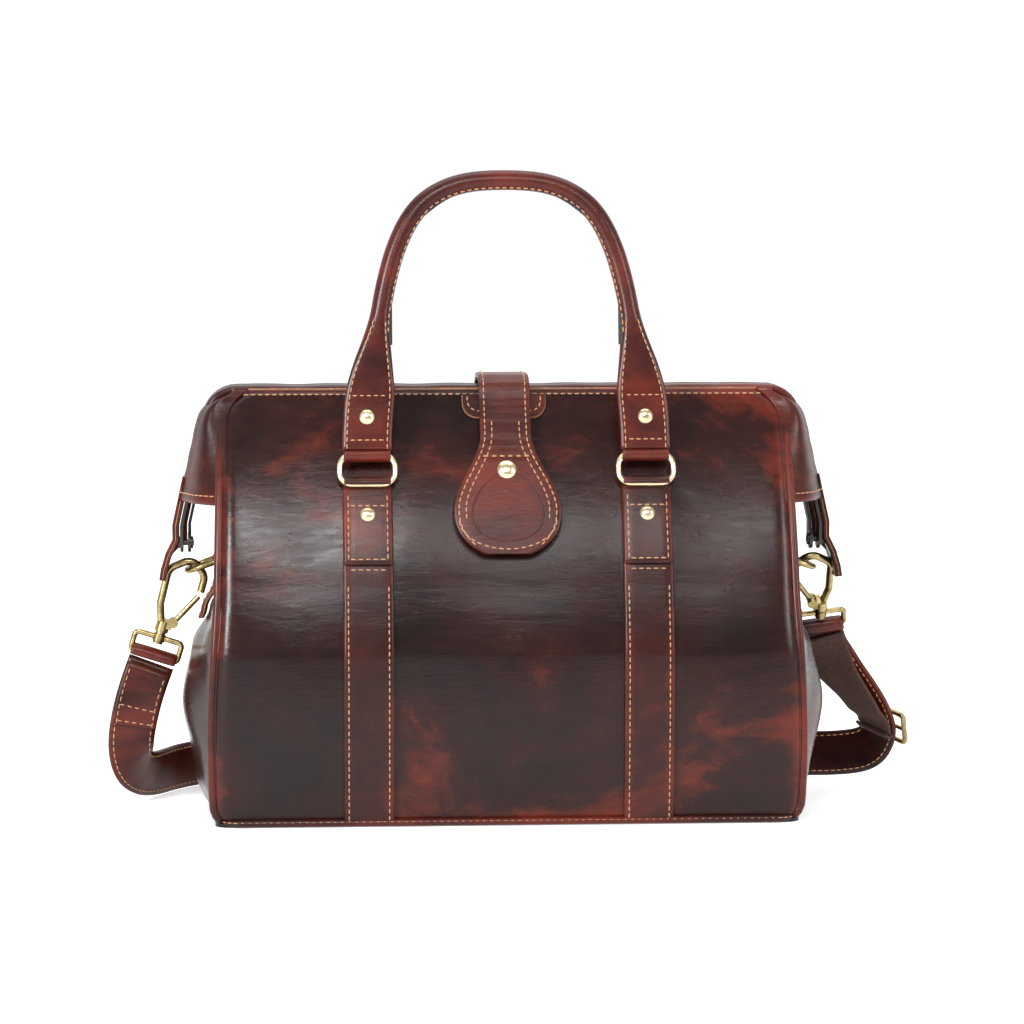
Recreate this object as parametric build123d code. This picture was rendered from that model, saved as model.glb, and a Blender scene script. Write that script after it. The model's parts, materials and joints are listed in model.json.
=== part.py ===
from build123d import *
import math
import os

os.makedirs("parts", exist_ok=True)

# Doctor bag in leather, millimetres. +Z is up, the front faces -Y, the origin is the centre of the
# base on the floor. The bag opens on two steel U-frames that hinge on common pins at the sides.

# --- driving sizes -------------------------------------------------------------------------------
WIDTH = 382.0                # base, left to right
DEPTH = 168.0                # base, front to back
HEIGHT = 280.0               # top edge of the front panel
HINGE_Z = 178.0              # height of the frame hinge pins
MOUTH_OPEN = 36.0            # degrees that each jaw swings away from the middle

LEATHER = 2.0                # panels
THIN = 1.5                   # sleeves and folds
STRAP_LEATHER = 3.0          # two layers stitched together
GAP = 0.3                    # clearance between neighbours

BELLY = 3.0                  # how far a panel bulges beyond the base
FLANK = 18.0                 # how far a side bulges beyond its seams
TOP_HALF_DEPTH = 18.0        # front face of the panel at its top edge

FRAME_WIDE = 10.0            # steel strip of the U-frames, across the bag's depth
FRAME_THICK = 2.0
FRAME_INSET = 8.0            # strip's middle from the bag's middle plane
LAYER = 5.0                  # side by side spacing of the front and rear legs
PIN_R = 2.0
RUNNING = 0.05               # radial clearance where a frame eye turns on its pin
EYE_R = 6.5

STRAP_X = 91.0               # middle of the vertical straps
STRAP_WIDE = 32.5
RING_WIDE = 40.0             # oval ring, outside
RING_TALL = 24.0
RING_WIRE_R = 2.0
RING_Z = 221.0               # wire that the strap loop holds
RIVET_R = 5.0
HANDLE_R = 6.5
HANDLE_TALL = 178.0          # ring wire to the crown's middle
HANDLE_CORE_R = 4.0

FLAP_NECK = 33.0
FLAP_WIDE = 70.0
FLAP_TIP_Z = 174.0
FLAP_NECK_Z = 246.0
SNAP_Z = 226.0
SNAP_R = 5.0

SHOULDER_WIDE = 31.0
SHOULDER_THICK = 3.0
D_BAR_X = WIDTH / 2 - 2.0
D_BAR_Z = 167.0
D_WIDE = 32.0
D_REACH = 26.0
D_WIRE_R = 2.0

# --- shapes that several pieces share ------------------------------------------------------------
BASE_THICK = 2.5
WALL_Z = BASE_THICK + GAP                    # bottom of the walls, on the base leather
LOWER_TOP = HINGE_Z - 22.0                   # the lower walls end here
UPPER_BOTTOM = HINGE_Z - 30.0                # the upper walls start inside them
SHINGLE = 3.0                                # step from the lower wall's face to the upper wall's
HALF = WIDTH / 2


def face_depth(z):
    """Distance of a panel's outer face from the middle plane, at a height."""
    if z <= LOWER_TOP:
        t = z / LOWER_TOP
        return DEPTH / 2 + BELLY * math.sin(math.pi * t)
    t = (z - LOWER_TOP) / (HEIGHT - LOWER_TOP)
    return DEPTH / 2 - SHINGLE - (DEPTH / 2 - SHINGLE - TOP_HALF_DEPTH) * (0.45 * t + 0.55 * t * t)


def half_width(z):
    """Half the front panel's width at a height: widest near the floor, narrowest at the top."""
    t = z / HEIGHT
    return HALF + 4.0 * math.sin(math.pi * min(1.0, t * 1.9)) * (1 - t) - 5.0 * t


def upper_face(z):
    """Outer face of the upper panels, which run on below the lower panels' top edge."""
    return face_depth(max(z, LOWER_TOP + 0.01))


def wall(face, low, high, near, far, reach=210.0, steps=5):
    """A sheet on the front side, between two offsets outside the face, `reach` each way in X."""
    zs = [low + (high - low) * i / steps for i in range(steps + 1)]
    outer = Spline([(-(face(z) + far), z) for z in zs])
    inner = Spline([(-(face(z) + near), z) for z in zs])
    ends = [Line(outer @ 0, inner @ 0), Line(outer @ 1, inner @ 1)]
    profile = Plane.YZ * make_face([outer, inner, *ends])
    return extrude(profile, amount=reach, both=True)


def front_outline(low, high, inset=0.0, corner=0.0):
    """Prism through the bag with the front's outline, between two heights."""
    zs = [low + (high - low) * i / 4 for i in range(5)]
    right = [(half_width(z) - inset, z) for z in zs]
    points = right + [(-x, z) for x, z in reversed(right)]
    outline = Plane.XZ * make_face(Polyline(points, close=True))
    prism = extrude(outline, amount=200.0, both=True)
    if corner:
        tops = prism.edges().filter_by(Axis.Y).group_by(Axis.Z)[-1]
        prism = fillet(tops, corner)
    return prism


def rear(shape):
    return mirror(shape, about=Plane.XZ)


def left(shape):
    return mirror(shape, about=Plane.YZ)


def both_sides(shape):
    return Compound(children=[*shape.solids(), *left(shape).solids()])


def tube(points, radii, r):
    """Round bar along straight runs joined by arcs."""
    path = FilletPolyline(*points, radius=radii)
    section = Plane(path @ 0, z_dir=path % 0) * Circle(r)
    return sweep(section, path=path)


def rivet(r=RIVET_R, domed=1.6):
    """Domed rivet on the XZ plane, facing forward."""
    facing = Rot(90, 0, 0)
    low = (Align.CENTER, Align.CENTER, Align.MIN)
    return facing * Cylinder(r, 1.0, align=low) + facing * Pos(0, 0, 1.0) * Cone(r, r * 0.45, domed, align=low)


def seat(shape, face, x, z, out):
    """Carry a piece that faces forward on the XZ plane to a slanted wall, square to it."""
    tilt = math.degrees(math.atan((face(z - 1) - face(z + 1)) / 2))
    return Pos(x, -(face(z) + out), z) * Rot(-tilt, 0, 0) * shape


pieces = {}

# --- base ----------------------------------------------------------------------------------------
base = Box(WIDTH, DEPTH, BASE_THICK, align=(Align.CENTER, Align.CENTER, Align.MIN))
base = fillet(base.edges().filter_by(Axis.Z), 10.0)
welt = Box(WIDTH + 6, DEPTH + 6, BASE_THICK, align=(Align.CENTER, Align.CENTER, Align.MIN))
welt = fillet(welt.edges().filter_by(Axis.Z), 12.0)
pieces["base_panel"] = base
pieces["base_welt"] = welt - base
board_half = (HALF - LEATHER - 4.0, DEPTH / 2 - LEATHER - 4.0)
BOARD_THICK = 3.0
board = Box(2 * board_half[0], 2 * board_half[1], BOARD_THICK, align=(Align.CENTER, Align.CENTER, Align.MIN))
pieces["base_board"] = Pos(0, 0, WALL_Z) * fillet(board.edges().filter_by(Axis.Z), 8.0)

# --- lower body ----------------------------------------------------------------------------------
lower = wall(face_depth, WALL_Z, LOWER_TOP, -LEATHER, 0.0) & front_outline(WALL_Z, LOWER_TOP)
pieces["front_panel_lower"] = lower
pieces["rear_panel_lower"] = rear(lower)


def flank_section(z, inset):
    """One horizontal slice of a side wall: an arc that bulges out between the two panels."""
    edge_y = face_depth(z) - LEATHER - GAP
    edge_x = half_width(z) - LEATHER - inset
    t = min(1.0, z / LOWER_TOP)
    out = 0.5 + FLANK * math.sin(math.pi * (0.12 + 0.84 * t)) ** 1.2
    outer = ThreePointArc((edge_x + LEATHER, -edge_y), (edge_x + LEATHER + out, 0), (edge_x + LEATHER, edge_y))
    inner = ThreePointArc((edge_x, -edge_y), (edge_x + out, 0), (edge_x, edge_y))
    ends = [Line(outer @ 0, inner @ 0), Line(outer @ 1, inner @ 1)]
    return Pos(0, 0, z) * make_face([outer, inner, *ends])


flank_zs = [WALL_Z + (LOWER_TOP - WALL_Z) * i / 4 for i in range(5)]
flank = loft([flank_section(z, 0.0) for z in flank_zs])
pieces["right_gusset"] = flank
pieces["left_gusset"] = left(flank)

# lining: one open bag, clear of the folds that swing down inside the walls
LINING_TOP = HINGE_Z - 74.0
LINING = 1.0
lining_x = HALF - LEATHER - 5.0
lining_y = DEPTH / 2 - LEATHER - 2.0
lining_low = WALL_Z + BOARD_THICK + GAP
lining_block = Box(2 * lining_x, 2 * lining_y, LINING_TOP - lining_low, align=(Align.CENTER, Align.CENTER, Align.MIN))
lining_hole = Box(2 * (lining_x - LINING), 2 * (lining_y - LINING), LINING_TOP, align=(Align.CENTER, Align.CENTER, Align.MIN))
pieces["lining"] = Pos(0, 0, lining_low) * (lining_block - Pos(0, 0, LINING) * lining_hole)

# --- jaws: front ones here, rear ones are their mirror --------------------------------------------
upper = wall(upper_face, UPPER_BOTTOM, HEIGHT, -LEATHER, 0.0) & front_outline(UPPER_BOTTOM, HEIGHT, 2.0, 18.0)
pieces["front_panel_upper"] = upper
pieces["rear_panel_upper"] = rear(upper)


def fold_quad(z_edge, z_fold, edge_y, fold_x, edge_x):
    """End face of a gusset fold: a thin strip from the panel's edge in to the fold line."""
    a = Vector(edge_x, -edge_y, z_edge)
    b = Vector(fold_x, -1.5, z_fold)
    across = (b - a).cross(Vector(0, 0, 1)).normalized() * THIN
    return make_face(Polyline([a, b, b + across, a + across], close=True))


fold_low = fold_quad(UPPER_BOTTOM + 4, HINGE_Z + 4, upper_face(UPPER_BOTTOM) - LEATHER - 3.0, D_BAR_X - 12.0, HALF - 8.0)
fold_high = fold_quad(HEIGHT - 14, HEIGHT - 14, TOP_HALF_DEPTH - 2.0, HALF - 30.0, HALF - 26.0)
fold = loft([fold_low, fold_high], ruled=True)
pieces["front_gusset_folds"] = both_sides(fold)
pieces["rear_gusset_folds"] = rear(both_sides(fold))

# steel U-frames; the front one is wider, so the legs pass side by side at the hinge
FRAME_TOP = HEIGHT - 3.0
DRAWN_HALF = 191.0                                             # the half width that side positions are drawn for
LEG_X = 213.0 + (HALF - DRAWN_HALF)
TOP_CORNER = 18.0


def frame_outline(narrow, thick):
    """Face of a U-frame in the XZ plane: its centre line given a thickness, with round top corners."""
    foot, shoulder = LEG_X - narrow, HALF - narrow + 3.0
    half = [(foot, HINGE_Z - 2.0), (foot, HINGE_Z + 12.0), (shoulder, FRAME_TOP)]
    lean = math.atan2(foot - shoulder, FRAME_TOP - HINGE_Z - 12.0)
    t = thick / 2

    def side(sign):
        knee = sign * t * math.tan(lean / 2)
        top = FRAME_TOP + sign * t
        slant = sign * t / math.cos(lean) - (top - FRAME_TOP) * math.tan(lean)
        right = [(foot + sign * t, half[0][1]), (foot + sign * t, half[1][1] + knee), (shoulder + slant, top)]
        return make_face(Polyline(right + [(-x, z) for x, z in reversed(right)], close=True))

    outer, inner = side(1), side(-1)
    outer = fillet(outer.vertices().group_by(Axis.Y)[-1], TOP_CORNER + t)
    inner = fillet(inner.vertices().group_by(Axis.Y)[-1], TOP_CORNER - t)
    return outer - inner


def frame_band(narrow, thick, near_y, far_y):
    """The U-frame's outline as a strip between two depths on the front side."""
    return Pos(0, -near_y, 0) * extrude(Plane.XZ * frame_outline(narrow, thick), amount=far_y - near_y)


def eye(narrow, hole_r):
    """Flat eye at the end of a leg, with the hole for the pin."""
    disc = Cylinder(EYE_R, FRAME_THICK) - Cylinder(hole_r, FRAME_THICK * 2)
    return Pos(LEG_X - narrow, 0, HINGE_Z) * Rot(0, 90, 0) * disc


def u_frame(narrow, hole_r):
    near, far = FRAME_INSET - FRAME_WIDE / 2, FRAME_INSET + FRAME_WIDE / 2
    band = frame_band(narrow, FRAME_THICK, near, far)
    clear = Pos(0, 0, HINGE_Z) * Rot(0, 90, 0) * Cylinder(hole_r, 600)
    return band + eye(narrow, hole_r) + left(eye(narrow, hole_r)) - clear


pieces["front_frame"] = u_frame(0.0, PIN_R + RUNNING)
pieces["rear_frame"] = rear(u_frame(LAYER, PIN_R))

# leather round the frames: binding over the top, sleeves down the legs
SLEEVE_THICK = FRAME_THICK + 2 * (THIN * 0.6 + 0.1)
SLEEVE_SIDE = 1.4                                              # sleeve beyond the frame's edges
BINDING_DROP = 18.0                                            # top binding's lower end below the bag's top
SLEEVE_OVER_EYE = 12.0                                         # sleeve's lower end above the hinge


def frame_sleeve(narrow, low, high):
    near, far = FRAME_INSET - FRAME_WIDE / 2 - SLEEVE_SIDE, FRAME_INSET + FRAME_WIDE / 2 + SLEEVE_SIDE
    outer = frame_band(narrow, SLEEVE_THICK, near, far)
    inner = frame_band(narrow, FRAME_THICK + 2 * GAP, near + SLEEVE_SIDE - GAP, far - SLEEVE_SIDE + GAP)
    keep = Pos(0, -FRAME_INSET, (low + high) / 2) * Box(2 * WIDTH, DEPTH, high - low)
    return (outer - inner) & keep


for name, narrow, flip in (("front", 0.0, lambda s: s), ("rear", LAYER, rear)):
    pieces[f"{name}_top_binding"] = flip(frame_sleeve(narrow, HEIGHT - BINDING_DROP, HEIGHT + BINDING_DROP))
    legs = frame_sleeve(narrow, HINGE_Z + SLEEVE_OVER_EYE, HEIGHT - BINDING_DROP - GAP)
    right_leg = [s for s in legs.solids() if s.center().X > 0]
    pieces[f"{name}_sleeve_right"] = flip(Compound(children=right_leg))
    pieces[f"{name}_sleeve_left"] = flip(left(Compound(children=right_leg)))

# hinge pins: fixed in the rear eyes, turning in the front ones
PIN_OUT, PIN_HEAD_R, PIN_HEAD = 3.0, 4.0, 1.5
pin_inner, pin_outer = LEG_X - LAYER - PIN_OUT, LEG_X + PIN_OUT
shank = Pos((pin_inner + pin_outer) / 2, 0, HINGE_Z) * Rot(0, 90, 0) * Cylinder(PIN_R, pin_outer - pin_inner)
head_out = Pos(LEG_X + FRAME_THICK / 2 + GAP + PIN_HEAD / 2, 0, HINGE_Z) * Rot(0, 90, 0) * Cylinder(PIN_HEAD_R, PIN_HEAD)
head_in = Pos(LEG_X - LAYER - FRAME_THICK / 2 - PIN_HEAD / 2, 0, HINGE_Z) * Rot(0, 90, 0) * Cylinder(PIN_HEAD_R, PIN_HEAD)
pieces["hinge_pins"] = both_sides(shank + head_out + head_in)

# --- vertical straps with their ring loops --------------------------------------------------------
LOOP_R = RING_WIRE_R + 0.4
RING_DEPTH = face_depth(RING_Z) + STRAP_LEATHER + LOOP_R       # the lower ring wire's depth


def strap_band(face, low, high, x, wide):
    run = wall(face, low, high, GAP, GAP + STRAP_LEATHER)
    return run & (Pos(x, 0, (low + high) / 2) * Box(wide, 600, high - low + 10))


def loop_round_wire(x, y, z, wide, r_in, thick):
    """Leather turned round a ring wire that lies along X."""
    hoop = Cylinder(r_in + thick, wide) - Cylinder(r_in, wide * 2)
    return Pos(x, y, z) * Rot(0, 90, 0) * hoop


LOOP_WIDE = RING_WIDE - 2 * (RING_TALL / 2) + 2.0              # the ring's straight wire
for x, side in ((-STRAP_X, "left"), (STRAP_X, "right")):
    low_strap = strap_band(face_depth, WALL_Z, LOWER_TOP, x, STRAP_WIDE)
    up_strap = strap_band(upper_face, HINGE_Z - 3.0, RING_Z - 2.0, x, STRAP_WIDE)
    loop = loop_round_wire(x, -RING_DEPTH, RING_Z, LOOP_WIDE, LOOP_R, 1.6)
    up_strap = up_strap + loop
    for name, flip in (("front", lambda s: s), ("rear", rear)):
        pieces[f"{name}_strap_lower_{side}"] = flip(low_strap)
        pieces[f"{name}_strap_upper_{side}"] = flip(up_strap)

STRAP_RIVET_Z = 200.0
strap_rivets = [seat(rivet(), upper_face, x, STRAP_RIVET_Z, GAP + STRAP_LEATHER + 0.4) for x in (-STRAP_X, STRAP_X)]
strap_rivets = Compound(children=[s for r in strap_rivets for s in r.solids()])
pieces["front_strap_rivets"] = strap_rivets
pieces["rear_strap_rivets"] = rear(strap_rivets)


# --- rings and handles, built standing up in the XZ plane, wire at the origin ---------------------
RING_STEP = RING_TALL - 2 * RING_WIRE_R                        # from one ring wire to the other


def wire_loop(plane, outline, r):
    """Closed round-wire loop along the edge of a face drawn in a plane."""
    path = (plane * outline).wire()
    section = Plane(origin=path @ 0, z_dir=path % 0) * Circle(r)
    return sweep(section, path=path)


def oval_ring(x):
    outline = RectangleRounded(RING_WIDE - 2 * RING_WIRE_R, RING_STEP, RING_STEP * 0.42)
    return wire_loop(Plane(origin=(x, 0, RING_STEP / 2), x_dir=(1, 0, 0), z_dir=(0, -1, 0)), outline, RING_WIRE_R)


TAB_THICK = 6.0
TAB_LONG = 62.0
ARCH_X = STRAP_X - 13.0


def handle_leather():
    """Flat tabs at both ends, closed round the ring wire, and a rolled arch between them."""
    top = HANDLE_TALL
    points = [(ARCH_X, 0, TAB_LONG), (ARCH_X, 0, top - 66.0), (ARCH_X - 16, 0, top - 24), (34, 0, top - 2.0), (0, 0, top + 1.0),
              (-34, 0, top - 2.0), (-ARCH_X + 16, 0, top - 24), (-ARCH_X, 0, top - 66.0), (-ARCH_X, 0, TAB_LONG)]
    arch = tube(points, [40, 48, 60, 200, 60, 48, 40], HANDLE_R)
    grip = arch
    for sign in (-1, 1):
        flat = Plane(origin=(sign * STRAP_X, 0, 13.0)) * Rectangle(STRAP_WIDE, TAB_THICK)
        mid = Plane(origin=(sign * (STRAP_X - 4), 0, 40.0)) * Rectangle(STRAP_WIDE - 2, TAB_THICK)
        end = Plane(origin=(sign * ARCH_X, 0, TAB_LONG + 6)) * Rectangle(2 * HANDLE_R - 2.4, 2 * HANDLE_R - 2.4)
        tab = loft([flat, mid, end], ruled=True)
        neck = Pos(sign * STRAP_X, 0, 8.0) * Box(LOOP_WIDE, TAB_THICK, 12.0)
        hoop = loop_round_wire(sign * STRAP_X, 0, 0, LOOP_WIDE, LOOP_R, 1.6)
        bore = Pos(sign * STRAP_X, 0, 0) * Rot(0, 90, 0) * Cylinder(LOOP_R, 60)
        grip = grip + (tab + neck + hoop - bore)
    return grip


def handle_core():
    points = [(ARCH_X, 0, TAB_LONG + 10), (ARCH_X, 0, HANDLE_TALL - 66.0), (ARCH_X - 16, 0, HANDLE_TALL - 24),
              (34, 0, HANDLE_TALL - 2.0), (0, 0, HANDLE_TALL + 1.0), (-34, 0, HANDLE_TALL - 2.0),
              (-ARCH_X + 16, 0, HANDLE_TALL - 24), (-ARCH_X, 0, HANDLE_TALL - 66.0), (-ARCH_X, 0, TAB_LONG + 10)]
    return tube(points, [40, 48, 60, 200, 60, 48, 40], HANDLE_CORE_R)


core = handle_core()
leather = handle_leather() - core
rivet_up = 27.0
handle_rivets = [Pos(sign * (STRAP_X - 2), -TAB_THICK / 2 - 0.1, rivet_up) * rivet() for sign in (-1, 1)]
handle_rivets = Compound(children=[s for r in handle_rivets for s in r.solids()])
rings = both_sides(oval_ring(STRAP_X))


def place(shape, lean_ring, lean_handle=None):
    """Turn a ring or handle about X and carry it to its wire on the bag's front."""
    axis_at = Pos(0, -RING_DEPTH, RING_Z)
    if lean_handle is None:
        return axis_at * Rot(-lean_ring, 0, 0) * shape
    tip = Pos(0, RING_STEP * math.sin(math.radians(lean_ring)), RING_STEP * math.cos(math.radians(lean_ring)))
    return axis_at * tip * Rot(-lean_handle, 0, 0) * shape


# lean is measured backward from upright, so a hanging handle leans a half turn and more
FRONT_RING, FRONT_HANDLE = 20.0, 8.0
REAR_RING, REAR_HANDLE = -134.0, -149.0
pieces["front_rings"] = place(rings, FRONT_RING)
pieces["rear_rings"] = rear(place(rings, REAR_RING))
for name, lean_r, lean_h, flip in (("front", FRONT_RING, FRONT_HANDLE, lambda s: s), ("rear", REAR_RING, REAR_HANDLE, rear)):
    pieces[f"{name}_handle"] = flip(place(leather, lean_r, lean_h))
    pieces[f"{name}_handle_core"] = flip(place(core, lean_r, lean_h))
    pieces[f"{name}_handle_rivets"] = flip(place(handle_rivets, lean_r, lean_h))

# --- closing flap ---------------------------------------------------------------------------------
FLAP_OVER = HEIGHT + 7.0                     # underside of the flap strap over the frames
FLAP_EDGE = TOP_HALF_DEPTH + 5.0             # where it turns down, front and rear
bridge = Pos(0, 0, FLAP_OVER + 1.5) * Box(FLAP_NECK, 2 * FLAP_EDGE - 2 * GAP, STRAP_LEATHER)
pieces["flap_strap"] = bridge
anchor = wall(upper_face, 236.0, HEIGHT + 4.0, GAP, GAP + STRAP_LEATHER) & (Pos(0, -60, 260) * Box(FLAP_NECK, 120, 60))
pieces["flap_anchor"] = rear(anchor)


def flap_half_width(z):
    if z > FLAP_NECK_Z:
        return FLAP_NECK / 2
    t = (FLAP_NECK_Z - z) / (FLAP_NECK_Z - FLAP_TIP_Z)
    return FLAP_NECK / 2 + (FLAP_WIDE - FLAP_NECK) / 2 * math.sin(math.pi / 2 * min(1.0, t / 0.68)) ** 1.6


shoulder_z = FLAP_TIP_Z + 24.0
side_zs = [FLAP_OVER, FLAP_NECK_Z, 232.0, 218.0, shoulder_z]
edge = Spline([(flap_half_width(z), z) for z in side_zs])
tip = ThreePointArc(edge @ 1, (0, FLAP_TIP_Z), (-(edge @ 1).X, shoulder_z))
tongue_face = make_face([edge, tip, mirror(edge, about=Plane.YZ), Line((-(edge @ 0).X, FLAP_OVER), ((edge @ 0).X, FLAP_OVER))])
TONGUE_OUT = 5.5                             # the tongue stands off the panel, over the front tab
tongue = wall(upper_face, FLAP_TIP_Z - 4, HEIGHT, TONGUE_OUT, TONGUE_OUT + STRAP_LEATHER) & extrude(Plane.XZ * tongue_face, amount=200)
lip = Pos(0, -(face_depth(HEIGHT) + TONGUE_OUT + STRAP_LEATHER / 2), HEIGHT + 3.4) * Box(FLAP_NECK, STRAP_LEATHER, 7.0)
pieces["flap_tongue"] = tongue + lip
pieces["flap_snap"] = seat(rivet(SNAP_R), upper_face, 0, SNAP_Z, TONGUE_OUT + STRAP_LEATHER + 0.4)
tab = wall(upper_face, 261.0, HEIGHT, GAP, GAP + STRAP_LEATHER) & (Pos(0, -60, 272) * Box(55.0, 120, 22))
pieces["front_tab"] = tab
catch = Rot(90, 0, 0) * Cylinder(8.5, 1.6, align=(Align.CENTER, Align.CENTER, Align.MIN))
pieces["snap_catch"] = seat(catch, upper_face, 0, SNAP_Z, 0.6)

# --- D-rings on the sides and their tabs ----------------------------------------------------------
d_run = D_WIDE / 2 - D_WIRE_R
D_DROP = 20.0                                # degrees that the D-ring hangs below level


def d_ring():
    """D-ring with its straight wire along Y at the origin, reaching out in +X."""
    reach = D_REACH - 2 * D_WIRE_R
    outline = Pos(reach / 2, 0) * Rectangle(reach, 2 * d_run)
    outline = fillet(outline.vertices().group_by(Axis.X)[0], 3.0)
    outline = fillet(outline.vertices().group_by(Axis.X)[-1], 12.0)
    return wire_loop(Plane.XY, outline, D_WIRE_R)


at_bar = Pos(D_BAR_X, 0, D_BAR_Z)
ring_d = at_bar * Rot(0, D_DROP, 0) * d_ring()
pieces["right_dring"] = ring_d
pieces["left_dring"] = left(ring_d)
TAB_WIDE = 16.0
hoop = Rot(90, 0, 0) * (Cylinder(D_WIRE_R + 0.4 + 1.5, TAB_WIDE) - Cylinder(D_WIRE_R + 0.4, TAB_WIDE * 2))
flank_mid = flank_section(LOWER_TOP - 1, 0).bounding_box().max.X
leaf = Plane.XZ * make_face(Polyline([(flank_mid + 0.4, 128), (flank_mid + 3.4, 128), (flank_mid + 3.4, 158),
                                      (D_BAR_X + 3.4, D_BAR_Z - 1), (D_BAR_X - 3.0, D_BAR_Z - 1.5), (flank_mid - 4.0, 158)], close=True))
side_tab = extrude(leaf, amount=TAB_WIDE / 2, both=True)
side_tab = side_tab + at_bar * hoop - at_bar * Rot(90, 0, 0) * Cylinder(D_WIRE_R + 0.4, 80) - flank
pieces["right_side_tab"] = side_tab
pieces["left_side_tab"] = left(side_tab)

# --- snap hooks, drawn in a plane of their own: x across, y up the hook, origin on the swivel ------
HOOK_R = 2.6
GATE_R = 1.9
GATE_PIVOT = (6.0, 12.0)
GATE_TIP = (17.0, 34.0)
POST_R = 2.2
SWIVEL_WIDE = 36.0
SWIVEL_TALL = 17.0
SWIVEL_R = 1.9
SWIVEL_DROP = SWIVEL_TALL - 2 * SWIVEL_R     # from the swivel boss down to the strap's wire
PIN_SMALL_R = 1.2


def along_y(r, low, high):
    return Pos(0, low, 0) * Rot(-90, 0, 0) * Cylinder(r, high - low, align=(Align.CENTER, Align.CENTER, Align.MIN))


def hook_body():
    spine = tube([(-1.5, 9, 0), (-6.0, 22, 0), (-7.5, 46, 0), (6, 57, 0), (17, 48, 0), (17.3, 37, 0)], [8, 9, 8, 8], HOOK_R)
    body = along_y(4.6, 4.0, 11.0) + along_y(3.4, 2.8, 4.0) + along_y(POST_R, -4.2, 4.0) + along_y(3.4, -4.2, -2.8)
    px, py = GATE_PIVOT
    cheeks = Pos(px / 2, 10, 0) * Box(px, 6, 8) + Pos(px, py, 0) * Cylinder(3.4, 8)
    room = Pos(px, py, 0) * Cylinder(3.5, 4.4) + Pos(px + 6, py + 7, 0) * Box(14, 16, 4.4)
    bore = Pos(px, py, 0) * Cylinder(PIN_SMALL_R, 20)
    return (body + cheeks - room - bore) + (spine - room)


def hook_gate():
    px, py = GATE_PIVOT
    lean = math.degrees(math.atan2(GATE_TIP[0] - px, GATE_TIP[1] - py))
    arm = Pos(px, py, 0) * Rot(0, 0, -lean) * along_y(GATE_R, 0, math.dist(GATE_PIVOT, GATE_TIP))
    root = Pos(px, py, 0) * Cylinder(3.0, 4.0)
    bore = Pos(px, py, 0) * Cylinder(PIN_SMALL_R + RUNNING, 20)
    return arm + root - bore


def gate_pin():
    return Pos(*GATE_PIVOT, 0) * Cylinder(PIN_SMALL_R, 8.6)


def swivel_ring():
    outline = Pos(0, -SWIVEL_DROP / 2) * RectangleRounded(SWIVEL_WIDE - 2 * SWIVEL_R, SWIVEL_DROP, 3.0)
    ring = wire_loop(Plane.XY, outline, SWIVEL_R)
    return ring + along_y(4.2, -2.5, 2.5) - along_y(POST_R + RUNNING, -9, 9)


def hook_plane(reach_sign, up, facing, wire_at):
    """Plane of a hook that holds the D-ring's outer wire, with the hook's own up direction."""
    up = Vector(*up).normalized()
    normal = (Vector(*facing) - up * Vector(*facing).dot(up)).normalized()
    across = up.cross(normal)
    reach = D_REACH - 2 * D_WIRE_R
    drop = math.radians(D_DROP)
    wire = Vector(reach_sign * (D_BAR_X + reach * math.cos(drop)), 0, D_BAR_Z - reach * math.sin(drop))
    origin = wire - across * wire_at[0] - up * wire_at[1]
    return Plane(origin=origin, x_dir=across, z_dir=normal)


# the last pair is where the D-ring's wire lies in the hook
hook_planes = {
    "left": hook_plane(-1, (0.302, 0, 0.953), (0, -1, 0), (4.5, 48.6)),
    "right": hook_plane(1, (-0.10, -0.62, 0.78), (0, 1, 0), (5.0, 45.0)),
}
for side, plane in hook_planes.items():
    pieces[f"{side}_hook_body"] = plane * hook_body()
    pieces[f"{side}_hook_gate"] = plane * hook_gate()
    pieces[f"{side}_gate_pin"] = plane * gate_pin()
    pieces[f"{side}_swivel_ring"] = plane * swivel_ring()
    print(side, "hook origin", plane.origin, "across", plane.x_dir, "up", plane.y_dir, "normal", plane.z_dir)

# --- shoulder strap: hangs from the left ring, lies on its edge behind the bag, rises to the right --
FLOOR_MID = SHOULDER_WIDE / 2 + 1.0


def ring_bar(side, below):
    plane = hook_planes[side]
    return plane.origin - plane.y_dir * (SWIVEL_DROP + below)


def band(stations, thick=SHOULDER_THICK):
    """Flat strap through stations of (point, direction of its width)."""
    faces = []
    for i, (point, wide) in enumerate(stations):
        before = Vector(*stations[max(i - 1, 0)][0])
        after = Vector(*stations[min(i + 1, len(stations) - 1)][0])
        run = (after - before).normalized()
        wide = Vector(*wide)
        wide = (wide - run * wide.dot(run)).normalized()
        faces.append(Plane(origin=point, x_dir=wide, z_dir=run) * Rectangle(SHOULDER_WIDE, thick))
    length = sum((Vector(*b[0]) - Vector(*a[0])).length for a, b in zip(stations, stations[1:]))
    return loft(faces, ruled=True), length


def strap_fold(side, thick=SHOULDER_THICK):
    """The strap turned round its ring's lower wire."""
    plane = hook_planes[side]
    hoop = Rot(0, 90, 0) * (Cylinder(SWIVEL_R + 0.3 + thick, SHOULDER_WIDE - 6) - Cylinder(SWIVEL_R + 0.3, 80))
    return plane * (Pos(0, -SWIVEL_DROP, 0) * hoop)


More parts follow.
